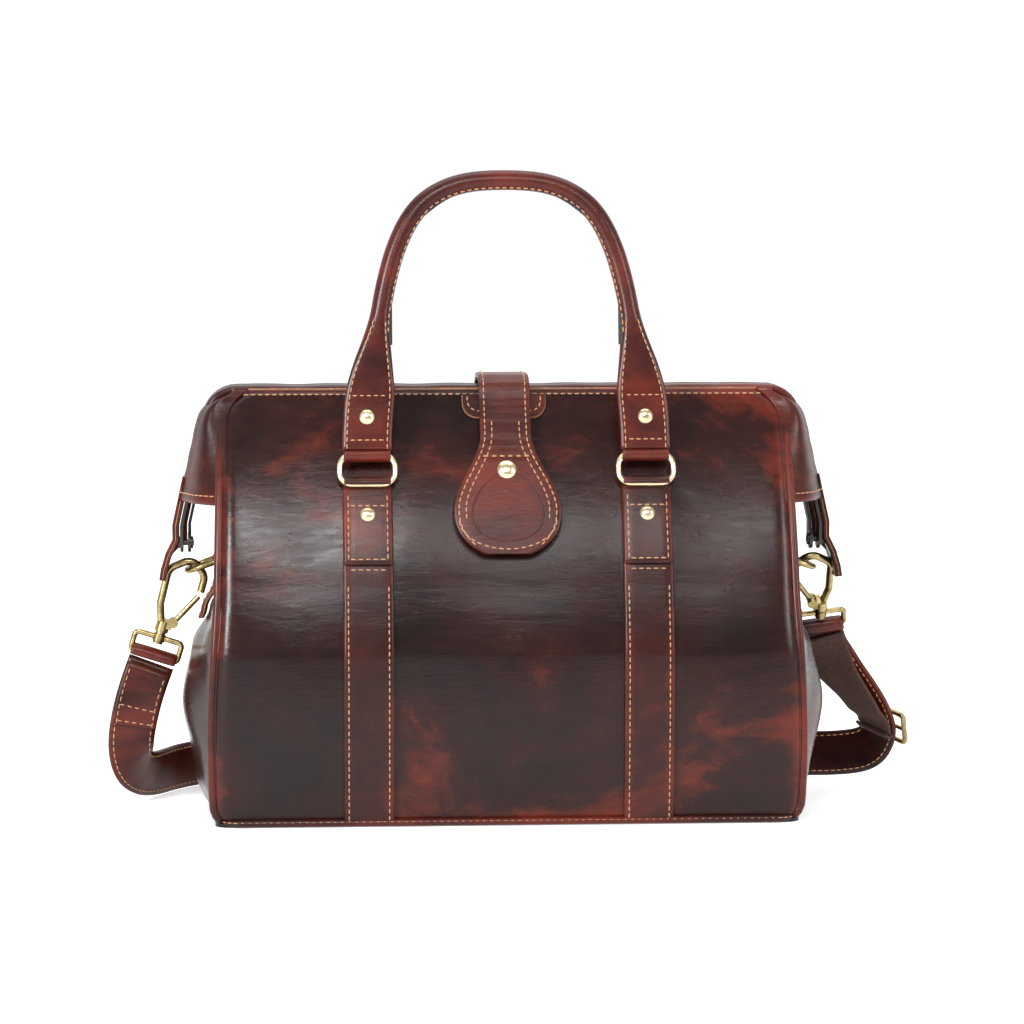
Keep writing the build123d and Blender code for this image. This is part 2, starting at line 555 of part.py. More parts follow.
left_u = hook_planes["left"].x_dir
right_u = hook_planes["right"].x_dir
STOOD = (0, 0, 1)
hang = [
    (ring_bar("left", 4.0), left_u), ((-240, -1, 82), (0.96, 0, -0.28)), ((-245.5, -2, 62), (0.97, 0.1, -0.2)),
    ((-248.5, 0, 43), (0.95, 0.25, 0.0)), ((-247, 8, 27), (0.72, 0.3, 0.55)), ((-240, 23, 19), (0.35, 0.1, 0.92)),
    ((-231, 44, FLOOR_MID), (0.1, 0, 1)), ((-219, 71, FLOOR_MID), STOOD), ((-196, 97, FLOOR_MID), STOOD),
    ((-158, 109, FLOOR_MID), STOOD), ((-110, 113, FLOOR_MID), STOOD), ((-60, 115, FLOOR_MID), STOOD),
    ((-10, 113, FLOOR_MID), STOOD), ((40, 109, FLOOR_MID), STOOD), ((90, 107, FLOOR_MID), STOOD),
    ((140, 108, FLOOR_MID), STOOD), ((184, 108, FLOOR_MID), STOOD), ((218, 102, FLOOR_MID), (0.0, 0.1, 1)),
    ((242, 92, 18), (-0.2, 0.25, 0.95)), ((259, 81, 22), (-0.42, 0.45, 0.78)),
]
rise = [
    ((266, 76, 30), (-0.50, 0.58, 0.60)), ((268, 71, 42), (-0.60, 0.66, 0.35)), ((262, 65, 56), (-0.66, 0.66, 0.2)),
    ((252, 59, 70), (-0.72, 0.62, 0.1)), ((240, 54, 83), (-0.84, 0.46, 0.05)), ((230, 50, 94), (-0.93, 0.25, -0.05)),
    ((223.5, 45, 102.5), (-0.98, 0.1, -0.1)), (ring_bar("right", 5.0), right_u),
]
ROUTE_EDGE = 150.0                                             # beyond this the route moves with the bag's sides


def with_the_bag(route):
    """The route with its fixed points moved outward as the bag is made wider."""
    moved = []
    for point, wide in route:
        if isinstance(point, tuple):
            x, y, z = point
            share = max(-1.0, min(1.0, x / ROUTE_EDGE))
            point = (x + share * (HALF - DRAWN_HALF), y, z)
        moved.append((point, wide))
    return moved


hang, rise = with_the_bag(hang), with_the_bag(rise)
strap, strap_length = band(hang + rise)
print("shoulder strap", round(strap_length, 1), "volume", round(strap.volume), "of", round(strap_length * SHOULDER_WIDE * SHOULDER_THICK))
pieces["shoulder_strap"] = strap + strap_fold("left") + strap_fold("right")

# slider: a buckle frame round the strap's rising end, its face parallel to the strap
slider_run = (Vector(*rise[2][0]) - Vector(*rise[0][0])).normalized()
slider_wide = Vector(*rise[1][1])
slider_wide = (slider_wide - slider_run * slider_wide.dot(slider_run)).normalized()
SLIDER_R = 1.8
slider_out = SHOULDER_THICK / 2 + SLIDER_R + 0.6
slider_plane = Plane(origin=rise[1][0], x_dir=slider_wide, z_dir=slider_wide.cross(slider_run))
slider_plane = slider_plane.offset(slider_out)
slider = wire_loop(Plane.XY, RectangleRounded(SHOULDER_WIDE + 7.0, 22.0, 3.0), SLIDER_R)
slider = slider + Rot(0, 90, 0) * Cylinder(SLIDER_R * 0.8, SHOULDER_WIDE + 7.0)
pieces["strap_slider"] = slider_plane * slider

for name, shape in pieces.items():
    solids = shape.solids()
    whole = solids[0] if len(solids) == 1 else Compound(children=list(solids))
    export_step(whole, f"parts/{name}.step")
print(len(pieces), "nodes")
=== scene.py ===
# %% [markdown]
# A doctor bag in glossy pull-up leather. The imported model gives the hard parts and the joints; this
# script gives the bag its leather, thread, lining and light. Everything is in metres.

# %% Load the frame and measure it
import bpy
import json
import math
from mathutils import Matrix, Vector


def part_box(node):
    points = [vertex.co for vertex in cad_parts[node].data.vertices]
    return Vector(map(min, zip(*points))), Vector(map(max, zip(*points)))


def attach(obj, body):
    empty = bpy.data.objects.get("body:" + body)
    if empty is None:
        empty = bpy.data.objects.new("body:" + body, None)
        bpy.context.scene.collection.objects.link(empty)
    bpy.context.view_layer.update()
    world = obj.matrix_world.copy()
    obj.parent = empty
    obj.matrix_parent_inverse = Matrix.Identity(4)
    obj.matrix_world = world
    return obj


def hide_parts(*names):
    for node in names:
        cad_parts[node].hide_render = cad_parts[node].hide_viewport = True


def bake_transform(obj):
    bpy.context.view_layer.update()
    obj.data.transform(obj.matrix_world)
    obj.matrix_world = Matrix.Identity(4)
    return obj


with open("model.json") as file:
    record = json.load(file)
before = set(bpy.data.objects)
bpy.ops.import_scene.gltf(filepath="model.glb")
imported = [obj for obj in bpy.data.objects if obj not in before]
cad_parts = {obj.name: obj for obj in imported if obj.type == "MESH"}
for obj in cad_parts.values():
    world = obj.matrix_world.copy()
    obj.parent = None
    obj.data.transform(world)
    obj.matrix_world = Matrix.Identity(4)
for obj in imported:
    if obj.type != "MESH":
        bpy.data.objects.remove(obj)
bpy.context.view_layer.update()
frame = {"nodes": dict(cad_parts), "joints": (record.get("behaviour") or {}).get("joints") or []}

# %% [markdown]
# A long lens from a little above the bag's middle keeps the front almost square to the eye. The
# camera stands a few degrees to the bag's left, so the left side shows a sliver more than the right.

# %% Camera
MM = 0.001
CAMERA_AWAY = 2.50
CAMERA_TURN = math.radians(3.4)
CAMERA_UP = 0.42
AIM = Vector((0.007, 0.0, 0.197))
camera_data = bpy.data.cameras.new("camera")
camera_data.lens = 132
camera_data.sensor_width = 36
camera = bpy.data.objects.new("camera", camera_data)
bpy.context.scene.collection.objects.link(camera)
camera.location = (-CAMERA_AWAY * math.sin(CAMERA_TURN), -CAMERA_AWAY * math.cos(CAMERA_TURN), CAMERA_UP)
camera.rotation_euler = (AIM - camera.location).to_track_quat("-Z", "Y").to_euler()
bpy.context.scene.camera = camera

# %% [markdown]
# Leather shows its shape by what it mirrors. A tall softbox on the left draws the long streak down
# the front, a second one fills the right, a big one overhead lights the top edge, and two small
# ones in front put a soft patch beside each strap. The sky is white behind the bag and dimmer in
# front of it, so the backdrop stays white while the dark leather keeps its contrast.

# %% Light and floor
def softbox(name, at, size, power, target=(0, 0, 0.16)):
    light = bpy.data.lights.new(name, "AREA")
    light.shape = "RECTANGLE"
    light.size, light.size_y = size
    light.energy = power
    lamp = bpy.data.objects.new(name, light)
    lamp.location = at
    lamp.rotation_euler = (Vector(target) - Vector(at)).to_track_quat("-Z", "Y").to_euler()
    bpy.context.scene.collection.objects.link(lamp)
    return lamp


softbox("left_softbox", (-1.5, -1.5, 0.9), (0.26, 0.9), 52)
softbox("right_softbox", (1.9, -1.3, 1.0), (0.6, 1.1), 24)
softbox("top_softbox", (0.0, 0.25, 1.9), (2.0, 1.2), 18)
softbox("front_softbox", (-0.24, -1.6, 1.30), (0.16, 0.36), 11)
softbox("second_front_softbox", (0.34, -1.6, 1.30), (0.12, 0.36), 5)
world = bpy.data.worlds.new("studio")
bpy.context.scene.world = world
world.use_nodes = True
sky_nodes, sky_links = world.node_tree.nodes, world.node_tree.links
direction = sky_nodes.new("ShaderNodeTexCoord")
parts_of = sky_nodes.new("ShaderNodeSeparateXYZ")
sky_links.new(direction.outputs["Generated"], parts_of.inputs["Vector"])
sky = sky_nodes.new("ShaderNodeMapRange")
sky.inputs["From Min"].default_value, sky.inputs["From Max"].default_value = -0.15, 0.45
sky.inputs["To Min"].default_value, sky.inputs["To Max"].default_value = 0.42, 1.0
sky_links.new(parts_of.outputs["Y"], sky.inputs["Value"])
sky_links.new(sky.outputs["Result"], sky_nodes["Background"].inputs["Color"])
sky_nodes["Background"].inputs["Strength"].default_value = 1.05
bpy.context.scene.view_settings.view_transform = "Standard"

FLOOR_HALF = 6.0
floor_mesh = bpy.data.meshes.new("floor")
floor_corners = [(FLOOR_HALF * x, FLOOR_HALF * y, 0) for x, y in ((-1, -1), (1, -1), (1, 1), (-1, 1))]
floor_mesh.from_pydata(floor_corners, [], [(0, 1, 2, 3)])
floor = bpy.data.objects.new("floor", floor_mesh)
bpy.context.scene.collection.objects.link(floor)
floor_paint = bpy.data.materials.new("floor_paint")
floor_paint.use_nodes = True
floor_shader = floor_paint.node_tree.nodes["Principled BSDF"]
floor_shader.inputs["Roughness"].default_value = 0.9
floor_shader.inputs["Specular IOR Level"].default_value = 0.1
floor_shader.inputs["Emission Color"].default_value = (1, 1, 1, 1)
floor_nodes, floor_links = floor_paint.node_tree.nodes, floor_paint.node_tree.links
floor_place = floor_nodes.new("ShaderNodeTexCoord")
floor_parts = floor_nodes.new("ShaderNodeSeparateXYZ")
floor_links.new(floor_place.outputs["Object"], floor_parts.inputs["Vector"])
for socket, low, high, dim, bright in (("Base Color", -2.2, -0.7, 0.45, 0.82), ("Emission Strength", -0.6, 0.6, 0.10, 0.72)):
    fade = floor_nodes.new("ShaderNodeMapRange")
    fade.inputs["From Min"].default_value, fade.inputs["From Max"].default_value = low, high
    fade.inputs["To Min"].default_value, fade.inputs["To Max"].default_value = dim, bright
    floor_links.new(floor_parts.outputs["Y"], fade.inputs["Value"])
    floor_links.new(fade.outputs["Result"], floor_shader.inputs[socket])
floor_mesh.materials.append(floor_paint)

# %% [markdown]
# Three helpers make nearly every soft piece. `new_piece` turns points and faces into an object,
# `tube_through` skins a row of rounded sections, as a saddler rolls or folds leather round a core,
# and `sheet_of` makes a curved sheet from a formula and gives it the leather's thickness.

# %% Mesh helpers
def new_piece(name, points, faces, material, smooth=True):
    mesh = bpy.data.meshes.new(name)
    mesh.from_pydata([tuple(p) for p in points], [], faces)
    mesh.update()
    for polygon in mesh.polygons:
        polygon.use_smooth = smooth
    mesh.materials.append(material)
    piece = bpy.data.objects.new(name, mesh)
    bpy.context.scene.collection.objects.link(piece)
    return piece


def ring_of(centre, wide, thick, half_wide, half_thick, sides, power):
    """Points of a rounded section: power 2 is an ellipse, higher is nearer a rectangle."""
    points = []
    for i in range(sides):
        turn = 2 * math.pi * (i + 0.5) / sides
        c, s = math.cos(turn), math.sin(turn)
        reach = (abs(c) ** power + abs(s) ** power) ** (-1 / power)
        points.append(centre + wide * (half_wide * c * reach) + thick * (half_thick * s * reach))
    return points


def tube_through(name, stations, material, sides=20, closed=False):
    """Skin of sections; a station is (centre, wide, thick, half_wide, half_thick, power)."""
    points = []
    for station in stations:
        centre, wide, thick, half_wide, half_thick, power = station
        points += ring_of(Vector(centre), Vector(wide), Vector(thick), half_wide, half_thick, sides, power)
    rows = len(stations)
    faces = []
    for row in range(rows if closed else rows - 1):
        a, b = row * sides, ((row + 1) % rows) * sides
        faces += [(a + i, a + (i + 1) % sides, b + (i + 1) % sides, b + i) for i in range(sides)]
    if not closed:
        faces.append(tuple(reversed(range(sides))))
        faces.append(tuple(range((rows - 1) * sides, rows * sides)))
    return new_piece(name, points, faces, material)


def sheet_of(name, place, across, along, material, thick, inner=None):
    """Sheet from place(u, v), both 0 to 1, with a thickness laid inward by a modifier."""
    points = [place(u / across, v / along) for v in range(along + 1) for u in range(across + 1)]
    step = across + 1
    faces = [(v * step + u, v * step + u + 1, (v + 1) * step + u + 1, (v + 1) * step + u)
             for v in range(along) for u in range(across)]
    piece = new_piece(name, points, faces, material)
    if inner:
        piece.data.materials.append(inner)
    solid = piece.modifiers.new("thickness", "SOLIDIFY")
    solid.thickness = thick
    solid.offset = -1
    if inner:
        solid.material_offset = 1
    return piece


def smoothstep(low, high, value):
    t = min(1.0, max(0.0, (value - low) / (high - low)))
    return t * t * (3 - 2 * t)

# %% [markdown]
# Pull-up leather is dyed dark and waxed. Where it bends or rubs, the wax parts and the red-brown
# below shows through. So the colour is a slow cloud of two reds over near-black, a second, finer
# cloud breaks its edges, and a number painted on the mesh, called wear, brings the red up along
# seams and folds. The bump has three sizes: soft dents, creases and pores.

# %% Leather
def shade(name):
    material = bpy.data.materials.new(name)
    material.use_nodes = True
    nodes = material.node_tree.nodes
    return material, nodes, material.node_tree.links, nodes["Principled BSDF"]


def noise_at(nodes, links, scale, detail=4.0, rough=0.55, stretch=(1, 1, 1), distort=0.0):
    where = nodes.new("ShaderNodeTexCoord")
    spread = nodes.new("ShaderNodeMapping")
    spread.inputs["Scale"].default_value = stretch
    noise = nodes.new("ShaderNodeTexNoise")
    noise.inputs["Scale"].default_value = scale
    noise.inputs["Detail"].default_value = detail
    noise.inputs["Roughness"].default_value = rough
    noise.inputs["Distortion"].default_value = distort
    links.new(where.outputs["Object"], spread.inputs["Vector"])
    links.new(spread.outputs["Vector"], noise.inputs["Vector"])
    return noise.outputs["Fac"]


def ramp_of(nodes, links, source, stops):
    ramp = nodes.new("ShaderNodeValToRGB")
    while len(ramp.color_ramp.elements) < len(stops):
        ramp.color_ramp.elements.new(0.5)
    for element, (position, colour) in zip(ramp.color_ramp.elements, stops):
        element.position = position
        element.color = (*colour, 1)
    links.new(source, ramp.inputs["Fac"])
    return ramp.outputs["Color"]


def combine(nodes, links, kind, a, b, clamp=False):
    node = nodes.new("ShaderNodeMath")
    node.operation = kind
    node.use_clamp = clamp
    for socket, value in ((0, a), (1, b)):
        if isinstance(value, (int, float)):
            node.inputs[socket].default_value = value
        else:
            links.new(value, node.inputs[socket])
    return node.outputs[0]


def bumped(nodes, links, shader, layers):
    """Bump from a list of (height, strength, distance)."""
    last = None
    for height, strength, distance in layers:
        bump = nodes.new("ShaderNodeBump")
        bump.inputs["Strength"].default_value = strength
        bump.inputs["Distance"].default_value = distance
        links.new(height, bump.inputs["Height"])
        if last:
            links.new(last, bump.inputs["Normal"])
        last = bump.outputs["Normal"]
    links.new(last, shader.inputs["Normal"])


FLECK_SHARE, WEAR_SHARE = 0.30, 0.22        # how much the fine cloud and the wear move the colour


def leather(name, dark, mid, red, coverage, roughness, crinkle):
    """Pull-up leather; coverage is how much of the red shows, crinkle how creased it is."""
    material, nodes, links, shader = shade(name)
    wear = nodes.new("ShaderNodeAttribute")
    wear.attribute_name = "wear"
    cloud = noise_at(nodes, links, 7.0, 6.0, 0.62, (1, 1, 1.35), 0.9)
    fleck = noise_at(nodes, links, 38.0, 5.0, 0.65, (1, 1, 1.8), 0.4)
    flecks = combine(nodes, links, "MULTIPLY", combine(nodes, links, "SUBTRACT", fleck, 0.5), FLECK_SHARE)
    mix = combine(nodes, links, "ADD", cloud, flecks)
    mix = combine(nodes, links, "ADD", mix, combine(nodes, links, "MULTIPLY", wear.outputs["Fac"], WEAR_SHARE))
    edge = 0.66 - 0.16 * coverage
    colour = ramp_of(nodes, links, mix, [(edge - 0.18, dark), (edge, mid), (edge + 0.22, red)])
    links.new(colour, shader.inputs["Base Color"])
    gloss = combine(nodes, links, "MULTIPLY_ADD", fleck, 0.16)
    gloss.node.inputs[2].default_value = roughness - 0.08
    links.new(gloss, shader.inputs["Roughness"])
    shader.inputs["Specular IOR Level"].default_value = 0.24
    shader.inputs["Coat Weight"].default_value = 0.06
    shader.inputs["Coat Roughness"].default_value = 0.22
    dent = noise_at(nodes, links, 11.0, 3.0, 0.5, (1, 1, 1), 0.6)
    crease = noise_at(nodes, links, 90.0, 5.0, 0.7, (0.55, 1, 2.2), 1.6)
    pore = noise_at(nodes, links, 900.0, 2.0, 0.6)
    bumped(nodes, links, shader, [(dent, 0.35, 0.004), (crease, crinkle, 0.0006), (pore, 0.25, 0.00008)])
    return material


body_leather = leather("body_leather", (0.0070, 0.0022, 0.0022), (0.018, 0.0036, 0.0028), (0.125, 0.0150, 0.0060),
                       0.58, 0.25, 0.30)
strap_leather = leather("strap_leather", (0.010, 0.0030, 0.0028), (0.026, 0.0046, 0.0034), (0.100, 0.0125, 0.0058),
                        0.52, 0.30, 0.30)
flap_leather = leather("flap_leather", (0.012, 0.0032, 0.0028), (0.034, 0.0052, 0.0036), (0.105, 0.0130, 0.0062),
                       0.62, 0.33, 0.75)
handle_leather = leather("handle_leather", (0.014, 0.0036, 0.0032), (0.036, 0.0056, 0.0040), (0.105, 0.0135, 0.0065),
                         0.66, 0.30, 0.22)


# %% [markdown]
# Cut edges show the tanned middle of the hide, and the thread is waxed polyester in a warm cream.
# The flesh side is rough, dull and dark brown. On the inside of each leg cap that dark colour is also
# painted shade for the gap under the cap. Each is a simple surface with its own small grain.

# %% Edge, thread, flesh side with painted shade, and lining
def plain(name, low, high, scale, roughness, depth, stretch=(1, 1, 1)):
    material, nodes, links, shader = shade(name)
    grain = noise_at(nodes, links, scale, 4.0, 0.6, stretch)
    links.new(ramp_of(nodes, links, grain, [(0.35, low), (0.65, high)]), shader.inputs["Base Color"])
    shader.inputs["Roughness"].default_value = roughness
    bumped(nodes, links, shader, [(grain, 0.5, depth)])
    return material


raw_edge = plain("raw_edge", (0.16, 0.060, 0.028), (0.30, 0.125, 0.060), 600, 0.75, 0.0002)
# flesh side, dark brown; on the leg caps' inner faces its darkness is also painted shade for the gap under each cap
flesh_side_and_painted_shade = plain("flesh_side_and_painted_shade", (0.030, 0.011, 0.008), (0.060, 0.022, 0.014), 500, 0.85, 0.0003)
thread = plain("thread", (0.30, 0.14, 0.060), (0.50, 0.27, 0.13), 1800, 0.55, 0.0001)
lining_cloth = plain("lining_cloth", (0.020, 0.014, 0.011), (0.040, 0.029, 0.022), 1500, 0.9, 0.0001, (1, 1, 3))
board = plain("board", (0.20, 0.14, 0.09), (0.28, 0.20, 0.13), 300, 0.9, 0.0001)
core_rubber = plain("core_rubber", (0.02, 0.02, 0.02), (0.03, 0.03, 0.03), 300, 0.8, 0.0001)


# %% [markdown]
# The rings and rivets are bright satin brass. The hooks, swivels and slider are darker, with an
# antique finish that has worn to yellow on top and kept brown where nothing rubs.

# %% Metal
def metal(name, low, high, roughness, scale=60.0):
    material, nodes, links, shader = shade(name)
    patina = noise_at(nodes, links, scale, 4.0, 0.6)
    links.new(ramp_of(nodes, links, patina, [(0.32, low), (0.62, high)]), shader.inputs["Base Color"])
    shader.inputs["Metallic"].default_value = 1.0
    rough = combine(nodes, links, "MULTIPLY_ADD", patina, 0.15)
    rough.node.inputs[2].default_value = roughness
    links.new(rough, shader.inputs["Roughness"])
    scratch = noise_at(nodes, links, 700.0, 2.0, 0.5, (1, 1, 0.1))
    bumped(nodes, links, shader, [(scratch, 0.12, 0.00005)])
    return material


bright_brass = metal("bright_brass", (0.58, 0.46, 0.27), (0.80, 0.68, 0.44), 0.18)
old_brass = metal("old_brass", (0.20, 0.145, 0.060), (0.46, 0.36, 0.17), 0.22, 90.0)
steel = metal("steel", (0.045, 0.042, 0.040), (0.090, 0.084, 0.080), 0.38)


def dress(node, material):
    """Give a kept CAD node its finish."""
    for slot in frame["nodes"][node].material_slots:
        slot.material = material


for node in ("front_rings", "rear_rings", "snap_catch"):
    dress(node, bright_brass)
for side in ("left", "right"):
    for part in ("dring", "hook_body", "hook_gate", "gate_pin", "swivel_ring"):
        dress(f"{side}_{part}", old_brass)
dress("strap_slider", old_brass)
for node in ("front_frame", "rear_frame", "hinge_pins"):
    dress(node, steel)
dress("lining", lining_cloth)
dress("base_board", board)
for node in ("front_handle_core", "rear_handle_core"):
    dress(node, core_rubber)
dress("base_panel", body_leather)

# %% [markdown]
# The shoulder strap comes first of the soft pieces, because its length is fixed. It hangs from the
# left ring, turns onto its edge on the floor, runs behind the bag and climbs through the slider to
# the right ring. A smooth curve carries the route, and the strap's flat section is turned along it.

# %% Shoulder strap
STRAP_WIDE, STRAP_THICK = 0.031, 0.0036
ROUTE = [  # millimetres, each with the direction of the strap's width
    ((-233.9, 0.0, 98.1), (0.953, 0, -0.302)), ((-240, -1, 82), (0.96, 0, -0.28)), ((-245.5, -2, 62), (0.97, 0.1, -0.2)),
    ((-248.5, 0, 43), (0.95, 0.25, 0.0)), ((-247, 8, 27), (0.72, 0.3, 0.55)), ((-240, 23, 19), (0.35, 0.1, 0.92)),
    ((-231, 44, 16.5), (0.1, 0, 1)), ((-219, 71, 16.5), (0, 0, 1)), ((-196, 97, 16.5), (0, 0, 1)),
    ((-158, 109, 16.5), (0, 0, 1)), ((-110, 113, 16.5), (0, 0, 1)), ((-60, 115, 16.5), (0, 0, 1)),
    ((-10, 113, 16.5), (0, 0, 1)), ((40, 109, 16.5), (0, 0, 1)), ((90, 107, 16.5), (0, 0, 1)),
    ((140, 108, 16.5), (0, 0, 1)), ((184, 108, 16.5), (0, 0, 1)), ((218, 102, 16.5), (0.0, 0.1, 1)),
    ((242, 92, 18), (-0.2, 0.25, 0.95)), ((259, 81, 22), (-0.42, 0.45, 0.78)), ((266, 76, 30), (-0.50, 0.58, 0.60)),
    ((268, 71, 42), (-0.60, 0.66, 0.35)), ((262, 65, 56), (-0.66, 0.66, 0.2)), ((252, 59, 70), (-0.72, 0.62, 0.1)),
    ((240, 54, 83), (-0.84, 0.46, 0.05)), ((230, 50, 94), (-0.93, 0.25, -0.05)), ((223.5, 45, 102.5), (-0.98, 0.1, -0.1)),
    ((220.9, 39.1, 110.9), (-0.99, 0, -0.127)),
]


def smooth_route(points):
    """Points read along a smooth curve whose control points are the route's."""
    curve = bpy.data.curves.new("route", "CURVE")
    curve.dimensions = "3D"
    spline = curve.splines.new("NURBS")
    spline.points.add(len(points) - 1)
    for control, point in zip(spline.points, points):
        control.co = (*point, 1)
    spline.order_u = 3
    spline.use_endpoint_u = True
    spline.resolution_u = 8
    holder = bpy.data.objects.new("route", curve)
    mesh = bpy.data.meshes.new_from_object(holder)
    line = [v.co.copy() for v in mesh.vertices]
    bpy.data.objects.remove(holder)
    bpy.data.meshes.remove(mesh)
    bpy.data.curves.remove(curve)
    return line


def widths_along(line, route):
    """Width direction at each point: blended from the two nearest stations of the route."""
    knots = [Vector(p) * MM for p, _ in route]
    wides = [Vector(w).normalized() for _, w in route]
    out, at = [], 0
    for point in line:
        while at < len(knots) - 2 and (point - knots[at + 1]).dot(knots[at + 1] - knots[at]) > 0:
            at += 1
        span = knots[at + 1] - knots[at]
        t = min(1.0, max(0.0, (point - knots[at]).dot(span) / span.length_squared))
        out.append(wides[at].lerp(wides[at + 1], t).normalized())
    return out


def band_stations(line, wides, half_wide, half_thick, out=0.0, power=6):
    """Sections of a flat strap along a line, shifted off it by `out` along the strap's face."""
    stations = []
    for i, point in enumerate(line):
        run = (line[min(i + 1, len(line) - 1)] - line[max(i - 1, 0)]).normalized()
        wide = (wides[i] - run * wides[i].dot(run)).normalized()
        face = wide.cross(run).normalized()
        stations.append((point + face * out, wide, face, half_wide, half_thick, power))
    return stations


route_line = smooth_route([Vector(p) * MM for p, _ in ROUTE])
route_wides = widths_along(route_line, ROUTE)
strap_stations = band_stations(route_line, route_wides, STRAP_WIDE / 2, STRAP_THICK / 2)
shoulder_strap = tube_through("shoulder_strap_leather", strap_stations, strap_leather, 24)
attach(shoulder_strap, "root")
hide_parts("shoulder_strap")

# %% [markdown]
# Thread is modelled, not painted: each stitch is a short rounded bar that dips at both ends. Every
# seam is one mesh, so a seam can ride with the leather it holds.

# %% Stitches
STITCH_PITCH, STITCH_LONG, STITCH_R = 0.0046, 0.0034, 0.00042


def stitch_seam(name, line, normals, body, proud=0.0002, pitch=STITCH_PITCH, long=STITCH_LONG,
                radius=STITCH_R, bend=None):
    """Stitches along a line of points, standing on the surface whose normals are given."""
    lengths = [0.0]
    for a, b in zip(line, line[1:]):
        lengths.append(lengths[-1] + (b - a).length)

    def at(distance):
        i = 0
        while i < len(lengths) - 2 and lengths[i + 1] < distance:
            i += 1
        t = (distance - lengths[i]) / max(1e-9, lengths[i + 1] - lengths[i])
        return line[i].lerp(line[i + 1], t), normals[i].lerp(normals[i + 1], t).normalized()

    points, faces = [], []
    count = max(1, int(lengths[-1] / pitch))
    for k in range(count):
        middle = (k + 0.5) * lengths[-1] / count
        rows = []
        for step, (offset, girth) in enumerate(((-0.5, 0.45), (-0.38, 0.9), (0.0, 1.1), (0.38, 0.9), (0.5, 0.45))):
            centre, normal = at(middle + offset * long)
            rows.append((centre + normal * (proud - radius * 1.4 * abs(offset * 2) ** 3), normal, girth))
        run = (rows[-1][0] - rows[0][0]).normalized()
        base = len(points)
        for centre, normal, girth in rows:
            side = run.cross(normal).normalized()
            points += ring_of(centre, side, normal, radius * girth, radius * girth, 6, 2)
        for r in range(4):
            a, b = base + r * 6, base + (r + 1) * 6
            faces += [(a + i, a + (i + 1) % 6, b + (i + 1) % 6, b + i) for i in range(6)]
        faces.append(tuple(base + i for i in reversed(range(6))))
        faces.append(tuple(base + 24 + i for i in range(6)))
    seam = new_piece(name, points, faces, thread)
    if bend:
        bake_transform(seam)
    else:
        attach(seam, body)
    return seam


def strap_edge_seam(name, stations, inset, side, face, body, **kw):
    """A row of stitches down one edge of a band made from stations."""
    line, normals = [], []
    for centre, wide, thick, half_wide, half_thick, _ in stations:
        centre, wide, thick = Vector(centre), Vector(wide), Vector(thick)
        line.append(centre + wide * (side * (half_wide - inset)) + thick * (face * half_thick))
        normals.append(thick * face)
    return stitch_seam(name, line, normals, body, **kw)


SEAM_INSET = 0.0032
strap_seams = [strap_edge_seam(f"shoulder_strap_seam_{i}", strap_stations[3:-3], SEAM_INSET, side, face, "root")
               for i, (side, face) in enumerate(((-1, 1), (1, 1), (-1, -1), (1, -1)))]

# %% [markdown]
# Next is the shape that the body's pieces share: how deep and how wide the bag is at a height. The
# front is one skin from base to frame. It swells a little between seams, and its side edges turn
# back to meet the gussets, so the light rolls off round the corners.

# %% Body shape
joints = {joint["name"]: joint for joint in frame["joints"]}
HINGE_Z = joints["front_jaw_open"]["pos_m"][2]
BODY_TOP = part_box("front_panel_upper")[1][2]
HALF_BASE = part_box("base_panel")[1][0]
HALF_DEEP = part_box("base_panel")[1][1]
LOWER_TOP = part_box("front_panel_lower")[1][2]
BELLY = 0.003
BLEND_START, BLEND_REACH = (-0.085, 0.105), (-0.0308, 0.02124)     # (y, z) on the front side


def face_depth(z):
    """How far the front's leather lies from the middle plane."""
    t = z / LOWER_TOP
    low = HALF_DEEP + BELLY * math.sin(math.pi * min(1.0, t))
    s = max(0.0, (z - LOWER_TOP * 0.72) / (BODY_TOP - LOWER_TOP * 0.72))
    high = low - (low - 0.018) * (0.30 * s + 0.70 * s * s)
    return high


def half_width(z):
    t = z / BODY_TOP
    return HALF_BASE + 0.004 * math.sin(math.pi * min(1.0, t * 1.9)) * (1 - t) - 0.005 * t


def bend_for(jaw, x=0.0, out=0.0):
    """Where leather passes from the fixed body to a jaw; the same line for all pieces of one side."""
    flip = 1 if jaw == "front_jaw" else -1
    y, z = BLEND_START[0] - 0.95 * out, BLEND_START[1] + 0.2 * out
    dy, dz = BLEND_REACH
    return ("root", jaw, (x, flip * y, z), (x, flip * (y + dy), z + dz))


def add_wear(piece, formula):
    """Paint how worn the leather is at each point, from 0 to 1, for the leather's colour."""
    layer = piece.data.attributes.new("wear", "FLOAT", "POINT")
    for item, vertex in zip(layer.data, piece.data.vertices):
        item.value = formula(vertex.co)


CORNER_R = 0.020
FOOT_R = 0.013
SEAM_TURN = 0.010


def foot_round(z):
    """How far the lower corner is drawn in at a height."""
    under = max(0.0, FOOT_R - z)
    return FOOT_R - math.sqrt(max(0.0, FOOT_R ** 2 - under ** 2))


def panel_point(u, v, flip):
    """Front skin: u across from 0 to 1, v up. Top corners are round and side edges turn back."""
    z = 0.0028 + (BODY_TOP - 0.0028) * v
    side = 2 * u - 1
    reach = half_width(z)
    over = max(0.0, z - (BODY_TOP - CORNER_R))
    reach -= CORNER_R - math.sqrt(max(0.0, CORNER_R ** 2 - over ** 2)) if over else 0.0
    reach -= foot_round(z)
    x = reach * math.copysign(abs(side) ** 0.92, side)
    edge = max(0.0, (abs(x) - (reach - SEAM_TURN)) / SEAM_TURN)
    deep = face_depth(z) - 0.0055 * edge ** 2.2
    swell = 0.0040 * (1 - abs(side) ** 4) * math.sin(math.pi * min(1.0, v * 1.05)) ** 0.7
    dent = 0.0016 * math.sin(9.0 * x / 0.19 + 1.3) * math.sin(math.pi * v) * math.sin(5.0 * v + 0.6)
    return Vector((x, -flip * (deep + swell + dent), z))


